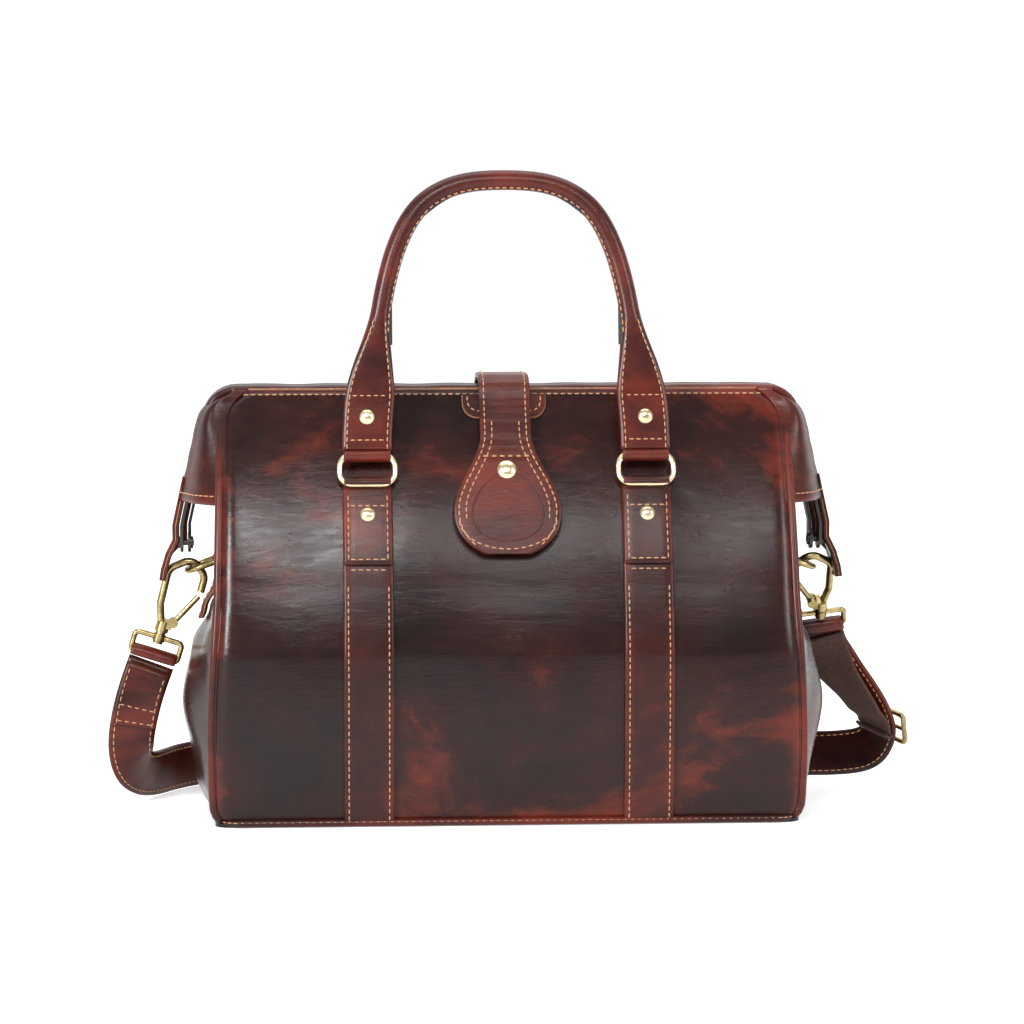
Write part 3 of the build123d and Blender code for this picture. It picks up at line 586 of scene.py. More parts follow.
def panel_wear(co):
    to_side = half_width(co.z) - abs(co.x)
    side_rub = 1.1 * math.exp(-max(0.0, to_side) / 0.007)
    foot_rub = 0.7 * math.exp(-co.z / 0.020)
    top_rub = 0.25 * math.exp(-(BODY_TOP - co.z) / 0.008)
    return side_rub + foot_rub + top_rub


for name, jaw, flip in (("front", "front_jaw", 1), ("rear", "rear_jaw", -1)):
    panel = sheet_of(f"{name}_panel_leather", lambda u, v, flip=flip: panel_point(u if flip > 0 else 1 - u, v, flip), 96, 90,
                     body_leather, 0.0022, lining_cloth)
    add_wear(panel, panel_wear)
    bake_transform(panel)
    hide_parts(f"{name}_panel_lower", f"{name}_panel_upper")

# %% [markdown]
# Each side is one gusset: below, it bulges between the two panels, and above the D-ring it folds
# in, so that the bag can close flat at the top. It is made as two halves that meet on the fold.

# %% Gussets
GUSSET_TOP = BODY_TOP - 0.010
FOLD_PROFILE = [(0.0, 0.004), (0.030, 0.014), (0.075, 0.021), (0.110, 0.016), (0.135, 0.006), (0.152, -0.001),
                (0.175, -0.014), (0.205, -0.026), (0.240, -0.034), (0.285, -0.038)]


def profile_at(profile, z):
    """Smooth value between the points of a profile."""
    for (z0, a), (z1, b) in zip(profile, profile[1:]):
        if z <= z1:
            t = max(0.0, (z - z0) / (z1 - z0))
            return a + (b - a) * t * t * (3 - 2 * t)
    return profile[-1][1]


def gusset_point(u, v, side, flip):
    """Half a gusset: u from the panel's seam in to the middle fold, v from base to top."""
    z = 0.0028 + (GUSSET_TOP - 0.0028) * v
    edge_y = face_depth(z) - 0.0035
    out = profile_at(FOLD_PROFILE, z)
    fold = smoothstep(0.13, 0.18, z)
    near = 1 - u                                       # 1 at the seam, 0 on the fold
    shape = (1 - near ** (2.4 - 1.2 * fold))
    crumple = 0.0014 * math.sin(70 * z + 6 * near) * (1 - near) * near * 4 * (1 - fold)
    x = half_width(z) - 0.0022 - foot_round(z) + (out + 0.002) * shape + crumple
    y = edge_y * near + 0.0006
    return Vector((side * x, -flip * y, z))


def gusset_wear(co):
    from_seam = face_depth(co.z) - abs(co.y)
    fold = 0.5 * smoothstep(0.14, 0.17, co.z)
    return 0.7 * math.exp(-max(0.0, from_seam) / 0.006) + 0.5 * math.exp(-co.z / 0.01) + fold


for side_name, side in (("left", -1), ("right", 1)):
    for jaw_name, jaw, flip in (("front", "front_jaw", 1), ("rear", "rear_jaw", -1)):
        turn = side * flip
        half = sheet_of(f"{side_name}_gusset_{jaw_name}", lambda u, v, s=side, f=flip, t=turn: gusset_point(u if t > 0 else 1 - u, v, s, f),
                        40, 90, body_leather, 0.0016, lining_cloth)
        add_wear(half, gusset_wear)
        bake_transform(half)
    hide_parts(f"{side_name}_gusset", "front_gusset_folds")
    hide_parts("rear_gusset_folds")

# %% [markdown]
# A round cord of leather, the piping, hides each seam between panel and gusset, and a stitched welt
# runs round the base.

# %% Piping and base welt
def piping_line(side, flip, steps=60):
    line = []
    for k in range(steps + 1):
        v = k / steps
        point = panel_point(1.0 if side > 0 else 0.0, v * 0.93, flip)
        line.append(point)
    return line


def band_line_stations(line, half_wide, half_thick, power, up=Vector((0, 0, 1))):
    stations = []
    for i, point in enumerate(line):
        run = (line[min(i + 1, len(line) - 1)] - line[max(i - 1, 0)]).normalized()
        wide = up.cross(run)
        wide = wide.normalized() if wide.length > 1e-4 else Vector((1, 0, 0))
        stations.append((point, wide, run.cross(wide).normalized(), half_wide, half_thick, power))
    return stations


PIPE_R = 0.0030
for side_name, side in (("left", -1), ("right", 1)):
    for jaw_name, jaw, flip in (("front", "front_jaw", 1), ("rear", "rear_jaw", -1)):
        line = piping_line(side, flip)
        pipe_stations = band_line_stations(line, PIPE_R, PIPE_R, 2, Vector((0, 1, 0)))
        pipe = tube_through(f"{jaw_name}_{side_name}_piping", pipe_stations, strap_leather, 10)
        add_wear(pipe, lambda co: 1.0)
        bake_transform(pipe)


def round_rectangle(half_x, half_y, radius, z, corner_steps=10):
    points = []
    for cx, cy, start in ((half_x - radius, half_y - radius, 0), (-half_x + radius, half_y - radius, 90),
                          (-half_x + radius, -half_y + radius, 180), (half_x - radius, -half_y + radius, 270)):
        for k in range(corner_steps + 1):
            turn = math.radians(start + 90 * k / corner_steps)
            points.append(Vector((cx + radius * math.cos(turn), cy + radius * math.sin(turn), z)))
    return points


def closed_stations(line, half_wide, half_thick, power):
    stations = []
    count = len(line)
    for i, point in enumerate(line):
        run = (line[(i + 1) % count] - line[i - 1]).normalized()
        out = run.cross(Vector((0, 0, 1))).normalized()
        stations.append((point, out, Vector((0, 0, 1)), half_wide, half_thick, power))
    return stations


WELT_OUT, WELT_IN = 0.0014, 0.0060
welt_line = round_rectangle(HALF_BASE - WELT_IN, HALF_DEEP + WELT_OUT, 0.012, 0.0028)
welt = tube_through("base_welt_leather", closed_stations(welt_line, 0.0034, 0.0024, 3), strap_leather, 12, closed=True)
add_wear(welt, lambda co: 0.75)
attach(welt, "root")
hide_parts("base_welt")
welt_seam_line = round_rectangle(HALF_BASE - WELT_IN + 0.0030, HALF_DEEP + WELT_OUT + 0.0030, 0.014, 0.0036)
welt_seam_line.append(welt_seam_line[0])
welt_normals = []
for p in welt_seam_line:
    near_x, near_y = max(-HALF_BASE, min(HALF_BASE, p.x)), max(-HALF_DEEP, min(HALF_DEEP, p.y))
    welt_normals.append(Vector((p.x - near_x * 0.98, p.y - near_y * 0.9, 0.004)).normalized())
stitch_seam("base_welt_seam", welt_seam_line, welt_normals, "root", proud=0.0001, radius=0.0003)

# %% [markdown]
# The vertical straps are two layers stitched at both edges. Each runs up its panel as one band,
# and turns back under a rivet to hold the ring. The handle's rings hang in that fold.

# %% Vertical straps
RING_Z = joints["front_ring_tilt"]["pos_m"][2]
RING_Y = -joints["front_ring_tilt"]["pos_m"][1]
STRAP_X = 0.091
VERTICAL_HALF = 0.0163
VERTICAL_THICK = 0.0016


def face_frame(z, flip, x=0.0):
    """Point on the panel's face, its direction up the face, and its normal, at a height."""
    step = 0.001
    u = 0.5 + 0.5 * math.copysign((abs(x) / half_width(z)) ** (1 / 0.92), x) if x else 0.5
    v = min(0.995, max(0.005, (z - 0.0028) / (BODY_TOP - 0.0028)))
    dv = step / (BODY_TOP - 0.0028)
    here = panel_point(u, v, flip)
    up = (panel_point(u, v + dv, flip) - panel_point(u, v - dv, flip)).normalized()
    normal = Vector((1, 0, 0)).cross(up) * flip
    return here, up, normal.normalized()


def strap_stations_on(flip, x, z_low, z_high, steps, out, half_wide, half_thick, power=7):
    stations = []
    for k in range(steps + 1):
        z = z_low + (z_high - z_low) * k / steps
        here, up, normal = face_frame(z, flip, x)
        stations.append((Vector((x, here.y, here.z)) + normal * out, Vector((1, 0, 0)), normal, half_wide, half_thick, power))
    return stations


def cross_seam(name, flip, x, z, half, out, body, bend=None):
    here, up, normal = face_frame(z, flip, x)
    centre = Vector((x, here.y, here.z)) + normal * out
    return stitch_seam(name, [centre - Vector((half, 0, 0)), centre + Vector((half, 0, 0))], [normal, normal], body, bend=bend)


def dome_rivet(name, centre, normal, radius, height, body, material=None):
    """Domed rivet with a thin flat rim, standing on the surface."""
    normal = Vector(normal).normalized()
    wide = normal.orthogonal().normalized()
    deep = normal.cross(wide)
    rows = [(1.0, -0.2), (1.0, 0.16), (0.93, 0.26), (0.80, 0.52), (0.60, 0.78), (0.35, 0.94), (0.02, 1.0)]
    stations = [(Vector(centre) + normal * (height * up), wide, deep, radius * girth, radius * girth, 2) for girth, up in rows]
    rivet = tube_through(name, stations, material or bright_brass, 28)
    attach(rivet, body)
    return rivet


RIVET_R, RIVET_UP = 0.0050, 0.0026
STRAP_RIVET_Z = 0.200
LOOP_R = 0.0026
for jaw_name, jaw, flip, y_sign in (("front", "front_jaw", 1, -1), ("rear", "rear_jaw", -1, 1)):
    for side_name, x in (("left", -STRAP_X), ("right", STRAP_X)):
        bend = bend_for(jaw, x, 2 * VERTICAL_THICK)
        stations = strap_stations_on(flip, x, 0.003, RING_Z - 0.010, 110, VERTICAL_THICK + 0.0002, VERTICAL_HALF, VERTICAL_THICK)
        over = RING_Z - 0.006
        here, up, normal = face_frame(over, flip, x)
        ring_at = Vector((x, y_sign * RING_Y, RING_Z))
        loop = []
        for k in range(9):                              # the band turns round the ring's lower wire
            turn = math.radians(-50 + 250 * k / 8)
            offset = (up * math.sin(turn) - normal * math.cos(turn)) * (LOOP_R + VERTICAL_THICK * 0.75)
            thick = offset.normalized()
            loop.append((ring_at + offset, Vector((1, 0, 0)), thick, VERTICAL_HALF * 0.93, VERTICAL_THICK * 0.72, 6))
        band = tube_through(f"{jaw_name}_strap_leather_{side_name}", stations, strap_leather, 20)
        hoop = tube_through(f"{jaw_name}_strap_loop_{side_name}", loop, strap_leather, 20)
        flap_low = RING_Z - 0.052                        # the turned-back end, over the band
        end = strap_stations_on(flip, x, flap_low, RING_Z - 0.004, 20, 3 * VERTICAL_THICK + 0.0002,
                                VERTICAL_HALF - 0.0004, VERTICAL_THICK * 0.8)
        turned = tube_through(f"{jaw_name}_strap_end_{side_name}", end, strap_leather, 20)
        for piece in (band, turned, hoop):
            add_wear(piece, lambda co, x=x: 0.55 * smoothstep(0.011, 0.0165, abs(co.x - x)) + 0.25)
        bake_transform(band)
        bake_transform(turned)
        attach(hoop, jaw)
        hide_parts(f"{jaw_name}_strap_lower_{side_name}")
        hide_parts(f"{jaw_name}_strap_upper_{side_name}")
        for k, side in enumerate((-1, 1)):
            strap_edge_seam(f"{jaw_name}_strap_seam_{side_name}_{k}", stations[:82], SEAM_INSET, side, 1, None, bend=bend)
            strap_edge_seam(f"{jaw_name}_strap_end_seam_{side_name}_{k}", end[1:-2], SEAM_INSET, side, 1, None, bend=bend)
        for k, z in enumerate((flap_low + 0.003, RING_Z - 0.016, flap_low + 0.003 - 0.006)):
            out = (3.8 if k < 2 else 2.0) * VERTICAL_THICK + 0.0003
            cross_seam(f"{jaw_name}_strap_cross_{side_name}_{k}", flip, x, z, 0.012, out, None, bend=bend)
        at, up, normal = face_frame(STRAP_RIVET_Z, flip, x)
        head_at = Vector((x, at.y, at.z)) + normal * (3.8 * VERTICAL_THICK)
        dome_rivet(f"{jaw_name}_strap_rivet_{side_name}", head_at, normal, RIVET_R, RIVET_UP, jaw)
    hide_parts(f"{jaw_name}_strap_rivets")

# %% [markdown]
# Each handle is one piece of leather. Its ends are flat tabs, folded round a ring and riveted, and
# between them the leather is rolled round a core and sewn along the inside of the arch. The same
# path serves both handles: the front one stands up, and the rear one hangs over the back.

# %% Handles
HANDLE_R = 0.0066
TAB_HALF = 0.0163
TAB_HALF_THICK = 0.0029
FRONT_LEAN, REAR_LEAN = math.radians(8), math.radians(-149)
ARCH = [(91, 3), (91, 12), (90, 28), (88.5, 42), (87, 56), (85, 70), (83, 84), (80, 102), (77, 116), (72, 134),
        (64, 152), (54, 165), (40, 174), (25, 178.5), (10, 180)]
TAB_TOP, ROUND_FROM = 0.034, 0.096          # the tab turns to a roll between these heights
TAB_CROSS = Vector((0.0115, 0, 0))
HANDLE_RIVET_UP = 0.0245


def arch_line():
    right = [Vector((x, h, 0)) * MM for x, h in ARCH]
    return smooth_route([Vector((-p.x, p.y, 0)) for p in right] + list(reversed(right)))


def handle_frame(lean, y_sign):
    up = Vector((0, -y_sign * math.sin(lean), math.cos(lean)))
    outer = Vector((0, y_sign * math.cos(lean), math.sin(lean)))
    return up, outer


for jaw_name, lean, y_sign in (("front", FRONT_LEAN, -1), ("rear", REAR_LEAN, 1)):
    body = f"{jaw_name}_handle"
    origin = Vector(joints[f"{jaw_name}_handle_swing"]["pos_m"])
    origin.x = 0
    up, outer = handle_frame(lean, y_sign)
    flat = [Vector((p.x, p.y, 0)) for p in arch_line()]

    def to_world(p, up=up, origin=origin):
        return origin + Vector((p.x, 0, 0)) + up * p.y

    stations = []
    for i, p in enumerate(flat):
        run = (flat[min(i + 1, len(flat) - 1)] - flat[max(i - 1, 0)]).normalized()
        wide = to_world(Vector((-run.y, run.x, 0))) - origin
        rolled = smoothstep(TAB_TOP, ROUND_FROM, p.y)
        half_wide = TAB_HALF + (HANDLE_R - TAB_HALF) * rolled
        half_thick = TAB_HALF_THICK + (HANDLE_R - TAB_HALF_THICK) * rolled ** 0.7
        stations.append((to_world(p), wide, outer, half_wide, half_thick, 7 - 5 * rolled ** 0.5))
    grip = tube_through(f"{jaw_name}_handle_leather", stations, handle_leather, 32)
    add_wear(grip, lambda co: 0.45)
    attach(grip, body)
    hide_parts(f"{jaw_name}_handle")
    tab_rows = [i for i, p in enumerate(flat) if p.y < 0.088]
    runs = {"left": [i for i in tab_rows if flat[i].x < 0], "right": [i for i in tab_rows if flat[i].x > 0]}
    for side_name, rows in runs.items():
        for k, side in enumerate((-1, 1)):
            strap_edge_seam(f"{jaw_name}_handle_tab_seam_{side_name}_{k}", [stations[i] for i in rows], SEAM_INSET, side, 1, body)
    inner_rows = [i for i, p in enumerate(flat) if p.y >= 0.080]
    inner_line, inner_normals = [], []
    for i in inner_rows:
        centre, wide, thick, half_wide, half_thick, _ = stations[i]
        towards = (-wide * 0.82 + thick * 0.57).normalized()
        inner_line.append(centre + towards * (half_wide * 1.0))
        inner_normals.append(towards)
    stitch_seam(f"{jaw_name}_handle_inner_seam", inner_line, inner_normals, body)
    for side_name, x in (("left", -STRAP_X), ("right", STRAP_X)):
        foot = origin + Vector((x, 0, 0))
        hoop = []
        for k in range(11):
            turn = math.radians(-30 + 240 * k / 10)
            away = -up * math.sin(turn) + outer * math.cos(turn)
            hoop.append((foot + away * (LOOP_R + 0.0011), Vector((1, 0, 0)), away, TAB_HALF * 0.94, 0.0012, 6))
        turned = tube_through(f"{jaw_name}_handle_loop_{side_name}", hoop, handle_leather, 20)
        add_wear(turned, lambda co: 0.7)
        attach(turned, body)
        for k, h in enumerate((0.0095, 0.0385)):
            centre = origin + Vector((x * (0.985 if k else 1.0), 0, 0)) + up * h + outer * (TAB_HALF_THICK * 1.0)
            stitch_seam(f"{jaw_name}_handle_cross_{side_name}_{k}", [centre - TAB_CROSS, centre + TAB_CROSS], [outer, outer], body)
        rivet_at = foot + up * HANDLE_RIVET_UP
        dome_rivet(f"{jaw_name}_handle_rivet_{side_name}", rivet_at + outer * TAB_HALF_THICK, outer, RIVET_R, RIVET_UP, body)
        dome_rivet(f"{jaw_name}_handle_burr_{side_name}", rivet_at - outer * TAB_HALF_THICK, -outer,
                   RIVET_R * 0.85, RIVET_UP * 0.6, body)
    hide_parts(f"{jaw_name}_handle_rivets")

# %% [markdown]
# The flap is one long piece of leather: sewn to the back, bent over the frame, and flared into a
# pear-shaped tongue in front. It is drawn as two pieces that meet on top. Its surface is the most
# creased of all.

# %% Flap
FLAP_STRAP_HALF, FLAP_TONGUE_HALF = 0.0168, 0.0350
FLAP_HALF_THICK = 0.0017
FLAP_TOP_Z, FLAP_TIP_Z, FLAP_NECK_Z, FLAP_FULL_Z = 0.2885, 0.1745, 0.252, 0.204
FLAP_OFF = 0.0068


def flap_front_line(flip, z_from, z_to, steps, off=FLAP_OFF):
    line = []
    for k in range(steps + 1):
        z = z_from + (z_to - z_from) * k / steps
        here, _, normal = face_frame(z, flip)
        line.append(Vector((0, here.y, here.z)) + normal * off)
    return line


def flap_half(z):
    if z > FLAP_NECK_Z:
        return FLAP_STRAP_HALF
    if z > FLAP_FULL_Z:
        return FLAP_TONGUE_HALF + (FLAP_STRAP_HALF - FLAP_TONGUE_HALF) * smoothstep(FLAP_FULL_Z, FLAP_NECK_Z, z)
    reach = (FLAP_FULL_Z - z) / (FLAP_FULL_Z - FLAP_TIP_Z + 0.0002)
    return FLAP_TONGUE_HALF * math.sqrt(max(0.004, 1 - reach ** 2.2))


def flap_stations(line, half_of, half_thick=FLAP_HALF_THICK, out=0.0, inset=0.0):
    stations = []
    for i, p in enumerate(line):
        run = (line[min(i + 1, len(line) - 1)] - line[max(i - 1, 0)]).normalized()
        face = Vector((1, 0, 0)).cross(run).normalized()
        if face.dot(p - Vector((0, 0, 0.15))) < 0:
            face = -face
        ripple = 0.0003 * math.sin(p.z * 900 + 2.0 * math.sin(p.z * 260)) if p.z > 0.235 else 0.0
        stations.append((p + face * (out + ripple), Vector((1, 0, 0)), face, max(0.001, half_of(p) - inset), half_thick, 8))
    return stations


tip_heights = [FLAP_FULL_Z - (FLAP_FULL_Z - FLAP_TIP_Z) * math.sin(math.pi / 2 * k / 16) for k in range(1, 17)]
front_down = flap_front_line(1, 0.2700, FLAP_FULL_Z, 40)
for z in tip_heights:
    here, _, normal = face_frame(z, 1)
    front_down.append(Vector((0, here.y, here.z)) + normal * FLAP_OFF)
OVER_THE_TOP = ((0.0, FLAP_TOP_Z), (0.008, FLAP_TOP_Z), (0.016, 0.2883), (0.0235, 0.2862))      # (y, z) of the bend
rear_down = flap_front_line(-1, 0.2700, 0.2370, 14, 0.0032)
over_front = smooth_route([Vector((0, -y, z)) for y, z in OVER_THE_TOP + ((0.0282, 0.2805),)] + [front_down[0]])
over_rear = smooth_route([Vector((0, y, z)) for y, z in OVER_THE_TOP + ((0.0272, 0.2805),)] + [rear_down[0]])
tongue_line = over_front[:-1] + front_down
anchor_line = over_rear[:-1] + rear_down
TONGUE_BEND = ("flap_bridge", "flap_end", (0, -0.0165, 0.2885), (0, -0.0275, 0.2805))
ANCHOR_BEND = ("rear_jaw", "flap_bridge", (0, 0.0275, 0.2805), (0, 0.0165, 0.2885))
tongue_stations = flap_stations(tongue_line, lambda p: flap_half(p.z))
anchor_stations = flap_stations(anchor_line, lambda p: FLAP_STRAP_HALF)
tongue = tube_through("flap_tongue_leather", tongue_stations, flap_leather, 44)
anchor = tube_through("flap_anchor_leather", anchor_stations, flap_leather, 44)


def flap_wear(co):
    top_bend = 0.35 * smoothstep(0.275, 0.288, co.z)
    strap_edges = 0.25 * smoothstep(0.010, 0.017, abs(co.x)) * smoothstep(0.24, 0.26, co.z)
    return 0.45 + top_bend + strap_edges


for piece, bend in ((tongue, TONGUE_BEND), (anchor, ANCHOR_BEND)):
    add_wear(piece, flap_wear)
    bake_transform(piece)
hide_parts("flap_tongue", "flap_strap")
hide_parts("flap_anchor")
bottom_open = [s for s in tongue_stations if s[0].z > FLAP_TIP_Z + 0.006]
for k, side in enumerate((-1, 1)):
    strap_edge_seam(f"flap_tongue_seam_{k}", bottom_open[2:], SEAM_INSET, side, 1, None, bend=TONGUE_BEND)
    strap_edge_seam(f"flap_anchor_seam_{k}", anchor_stations[2:-1], SEAM_INSET, side, 1, None, bend=ANCHOR_BEND)
    second_row = [s for s in tongue_stations if 0.196 < s[0].z < 0.262]
    strap_edge_seam(f"flap_inner_seam_{k}", second_row, SEAM_INSET + 0.0046, side, 1, "flap_end")


def flap_point(x, z, out=0.0):
    here, _, normal = face_frame(z, 1)
    return Vector((x, here.y, here.z)) + normal * (FLAP_OFF + FLAP_HALF_THICK + out), normal


round_line, round_normals = [], []
for k in range(33):
    turn = math.pi * k / 32
    x = -(FLAP_TONGUE_HALF - SEAM_INSET) * math.cos(turn)
    z = FLAP_FULL_Z - 0.0085 - (FLAP_FULL_Z - FLAP_TIP_Z - 0.0112) * math.sin(turn)
    point, normal = flap_point(x, z)
    round_line.append(point)
    round_normals.append(normal)
stitch_seam("flap_round_seam", round_line, round_normals, "flap_end")
cross_mid, cross_normal = flap_point(0, 0.2345)
flap_cross = Vector((0.016, 0, 0))
stitch_seam("flap_cross_seam", [cross_mid - flap_cross, cross_mid + flap_cross], [cross_normal] * 2, "flap_end", radius=0.00055)
emboss = []
for k in range(48):
    turn = 2 * math.pi * k / 48
    z = 0.2035 + 0.0215 * math.cos(turn)
    x = math.sin(turn) * (0.0225 - 0.006 * math.cos(turn))
    point, normal = flap_point(x, z, -0.0001)
    emboss.append((point, normal))
emboss_stations = [(p, n.cross(Vector((0, 0, 1))).normalized(), n, 0.0007, 0.00045, 2) for p, n in emboss]
emboss_ring = tube_through("flap_emboss", emboss_stations, flap_leather, 8, closed=True)
add_wear(emboss_ring, lambda co: 0.1)
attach(emboss_ring, "flap_end")
snap_at, snap_normal = flap_point(0, 0.2262)
snap = dome_rivet("flap_snap_cap", snap_at, snap_normal, 0.0064, 0.0030, "flap_end")
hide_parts("flap_snap")

# %% [markdown]
# Two steel frames carry the jaws. Leather is folded over each: a binding runs across the top, a cap
# wraps each upper leg and ends in a hem, and a strip with raw tan edges covers the leg below it,
# down past the hinge to a loose tip.

# %% Binding, caps and leg strips
LEG_FOOT_X, LEG_HEAD_X, FRAME_TOP = 0.213, 0.194, 0.277
CAP_LOW = 0.207
LOOSE_TIP = ((0.0075, 0.0078, 0.170), (0.0105, 0.0076, 0.160), (0.0115, 0.0072, 0.1535))
LEG_LAYERS = ((0.0060, 0.0010, 0.0, strap_leather), (0.0064, 0.0006, -0.0013, raw_edge), (0.0062, 0.0010, -0.0026, strap_leather))


def leg_x(z, rear):
    t = min(1.0, max(0.0, (z - HINGE_Z - 0.012) / (FRAME_TOP - HINGE_Z - 0.012)))
    x = LEG_FOOT_X + (LEG_HEAD_X - LEG_FOOT_X) * t - (0.005 if rear else 0.0)
    over = max(0.0, z - (FRAME_TOP - 0.018))
    return x - (0.018 - math.sqrt(max(0.0, 0.018 ** 2 - min(over, 0.018) ** 2)))


def cap_point(u, v, side, flip, grow=0.0):
    """u from the panel's seam round the outside to the middle, v from the hem to the top."""
    z = CAP_LOW + (0.2815 - CAP_LOW) * v
    rear = flip < 0
    seam_z = min(z, BODY_TOP - 0.001)
    reach = half_width(seam_z)
    over = max(0.0, seam_z - (BODY_TOP - CORNER_R))
    reach -= CORNER_R - math.sqrt(max(0.0, CORNER_R ** 2 - over ** 2)) if over else 0.0
    start = Vector((reach - 0.004, face_depth(seam_z) - 0.001, z))
    outer = Vector((leg_x(z, rear) + 0.0052 + grow, 0.0100, z))
    corner = Vector((leg_x(z, rear) + 0.0030 + grow, 0.0180, z))
    finish = Vector((leg_x(z, rear) + 0.0035 + grow, 0.0012, z))
    points = [start, start.lerp(corner, 0.5) + Vector((0.004, 0.004, 0)), corner, outer, finish]
    spot = u * (len(points) - 1)
    i = min(len(points) - 2, int(spot))
    t = spot - i
    before, after = points[max(0, i - 1)], points[min(len(points) - 1, i + 2)]
    a, b = points[i], points[i + 1]
    bend = (2 * before - 5 * a + 4 * b - after) * t * t
    twist = (3 * a - before - 3 * b + after) * t * t * t
    p = 0.5 * ((2 * a) + (b - before) * t + bend + twist)
    ripple = 0.0002 * math.sin(z * 420 + 3 * u) * math.sin(math.pi * u)
    return Vector((side * (p.x + ripple), -flip * p.y, p.z))


for jaw_name, jaw, flip in (("front", "front_jaw", 1), ("rear", "rear_jaw", -1)):
    rear = flip < 0
    for side_name, side in (("left", -1), ("right", 1)):
        turn = side * flip
        # the cap's inner face is the dark flesh side, whose colour also paints the shade in the gap under the cap
        cap = sheet_of(f"{jaw_name}_cap_{side_name}", lambda u, v, s=side, f=flip, t=turn: cap_point(u if t > 0 else 1 - u, v, s, f),
                       28, 30, strap_leather, 0.0018, flesh_side_and_painted_shade)
        add_wear(cap, lambda co: 0.35 + 0.4 * smoothstep(0.262, 0.28, co.z) + 0.4 * (1 - smoothstep(0.208, 0.214, co.z)))
        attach(cap, jaw)
        hem_line = [cap_point(0.06 + 0.90 * k / 12, 0.075, side, flip, 0.0004) for k in range(13)]
        hem_normals = [Vector((side, -flip * 0.5, 0)).normalized()] * 13
        stitch_seam(f"{jaw_name}_cap_hem_{side_name}", hem_line, hem_normals, jaw, proud=0.0006)
        strip_points = [(leg_x(z, rear) + 0.0026, 0.0078, z) for z in (0.222, 0.206, 0.190, 0.180)]
        strip_points += [(LEG_FOOT_X + out, y, z) for out, y, z in LOOSE_TIP]
        strip_line = [Vector((side * x, -flip * y, z)) for x, y, z in strip_points]
        for layer, (half_wide, half_thick, shift, material) in enumerate(LEG_LAYERS):
            rows = []
            for i, p in enumerate(strip_line):
                run = (strip_line[min(i + 1, len(strip_line) - 1)] - strip_line[max(i - 1, 0)]).normalized()
                wide = Vector((0, 1, 0))
                face = run.cross(wide).normalized()
                rows.append((p + face * (shift * (-side)), wide, face, half_wide, half_thick, 7))
            strip = tube_through(f"{jaw_name}_leg_strip_{side_name}_{layer}", rows, material, 16)
            if material is strap_leather:
                add_wear(strip, lambda co: 0.6)
            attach(strip, jaw)
        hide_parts(f"{jaw_name}_sleeve_{side_name}")
    binding_line = []
    for k in range(61):
        x = -0.176 + 0.352 * k / 60
        lift = 0.0009 * math.sin(k * 0.7) * math.sin(k * 0.23)
        binding_line.append(Vector((x, -flip * 0.0085, 0.2798 + lift * 0.4)))
    for k in range(1, 9):
        turn = math.radians(90 * k / 8)
        drop = 0.020 * (1 - math.cos(turn))
        out = 0.020 * math.sin(turn)
        binding_line.append(Vector((0.176 + out, -flip * 0.0085, 0.2798 - drop)))
        binding_line.insert(0, Vector((-0.176 - out, -flip * 0.0085, 0.2798 - drop)))
    rows = []
    for i, p in enumerate(binding_line):
        run = (binding_line[min(i + 1, len(binding_line) - 1)] - binding_line[max(i - 1, 0)]).normalized()
        rows.append((p, Vector((0, 1, 0)), run.cross(Vector((0, 1, 0))).normalized(), 0.0080, 0.0033, 3.2))
    binding = tube_through(f"{jaw_name}_binding_leather", rows, strap_leather, 24)
    add_wear(binding, lambda co: 0.5)
    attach(binding, jaw)
    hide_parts(f"{jaw_name}_top_binding")
    tan_line = [Vector((-0.172 + 0.344 * k / 40, -flip * 0.0188, 0.2768)) for k in range(41)]
    facing = [Vector((0, -flip * 0.9, 0.35)).normalized()] * 41
    strip_rows = [(p, n.cross(Vector((1, 0, 0))), n, 0.0036, 0.0011, 6) for p, n in zip(tan_line, facing)]
    tan_rows = [(p - n * 0.0004 + Vector((0, 0, 0.0006)), w, n, h + 0.0006, 0.0009, 6) for (p, w, n, h, _, _) in strip_rows]
    strip = tube_through(f"{jaw_name}_binding_strip", strip_rows, strap_leather, 16)
    add_wear(strip, lambda co: 0.6)
    tan = tube_through(f"{jaw_name}_binding_tan", tan_rows, raw_edge, 16)
    for piece in (strip, tan):
        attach(piece, jaw)
    stitch_seam(f"{jaw_name}_binding_seam", [p + n * 0.0011 for p, n in zip(tan_line, facing)], facing, jaw)

# %% [markdown]
# A small rounded tab sits behind the flap at the top of the front, with a double tan edge.

# %% Front tab
def tab_outline(half_x, low, high, radius, count=10):
    turns = [math.pi / 2 * k / count for k in range(count + 1)]
    in_x, up_z = half_x - radius, low + radius
    points = [(half_x, high)]
    points += [(in_x + radius * math.cos(t), up_z - radius * math.sin(t)) for t in turns]
    points += [(-in_x - radius * math.sin(t), up_z - radius * math.cos(t)) for t in turns]
    points.append((-half_x, high))
    return points


def flat_patch(name, outline, off, thick, material):
    """A flat shape laid on the front's face, with its own thickness."""
    points = []
    for lift in (off, off + thick):
        for x, z in outline:
            here, _, normal = face_frame(z, 1)
            points.append(Vector((x, here.y, here.z)) + normal * lift)
    count = len(outline)
    faces = [tuple(reversed(range(count))), tuple(range(count, 2 * count))]
    faces += [(i, (i + 1) % count, count + (i + 1) % count, count + i) for i in range(count)]
    piece = new_piece(name, points, faces, material, smooth=False)
    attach(piece, "front_jaw")
    return piece


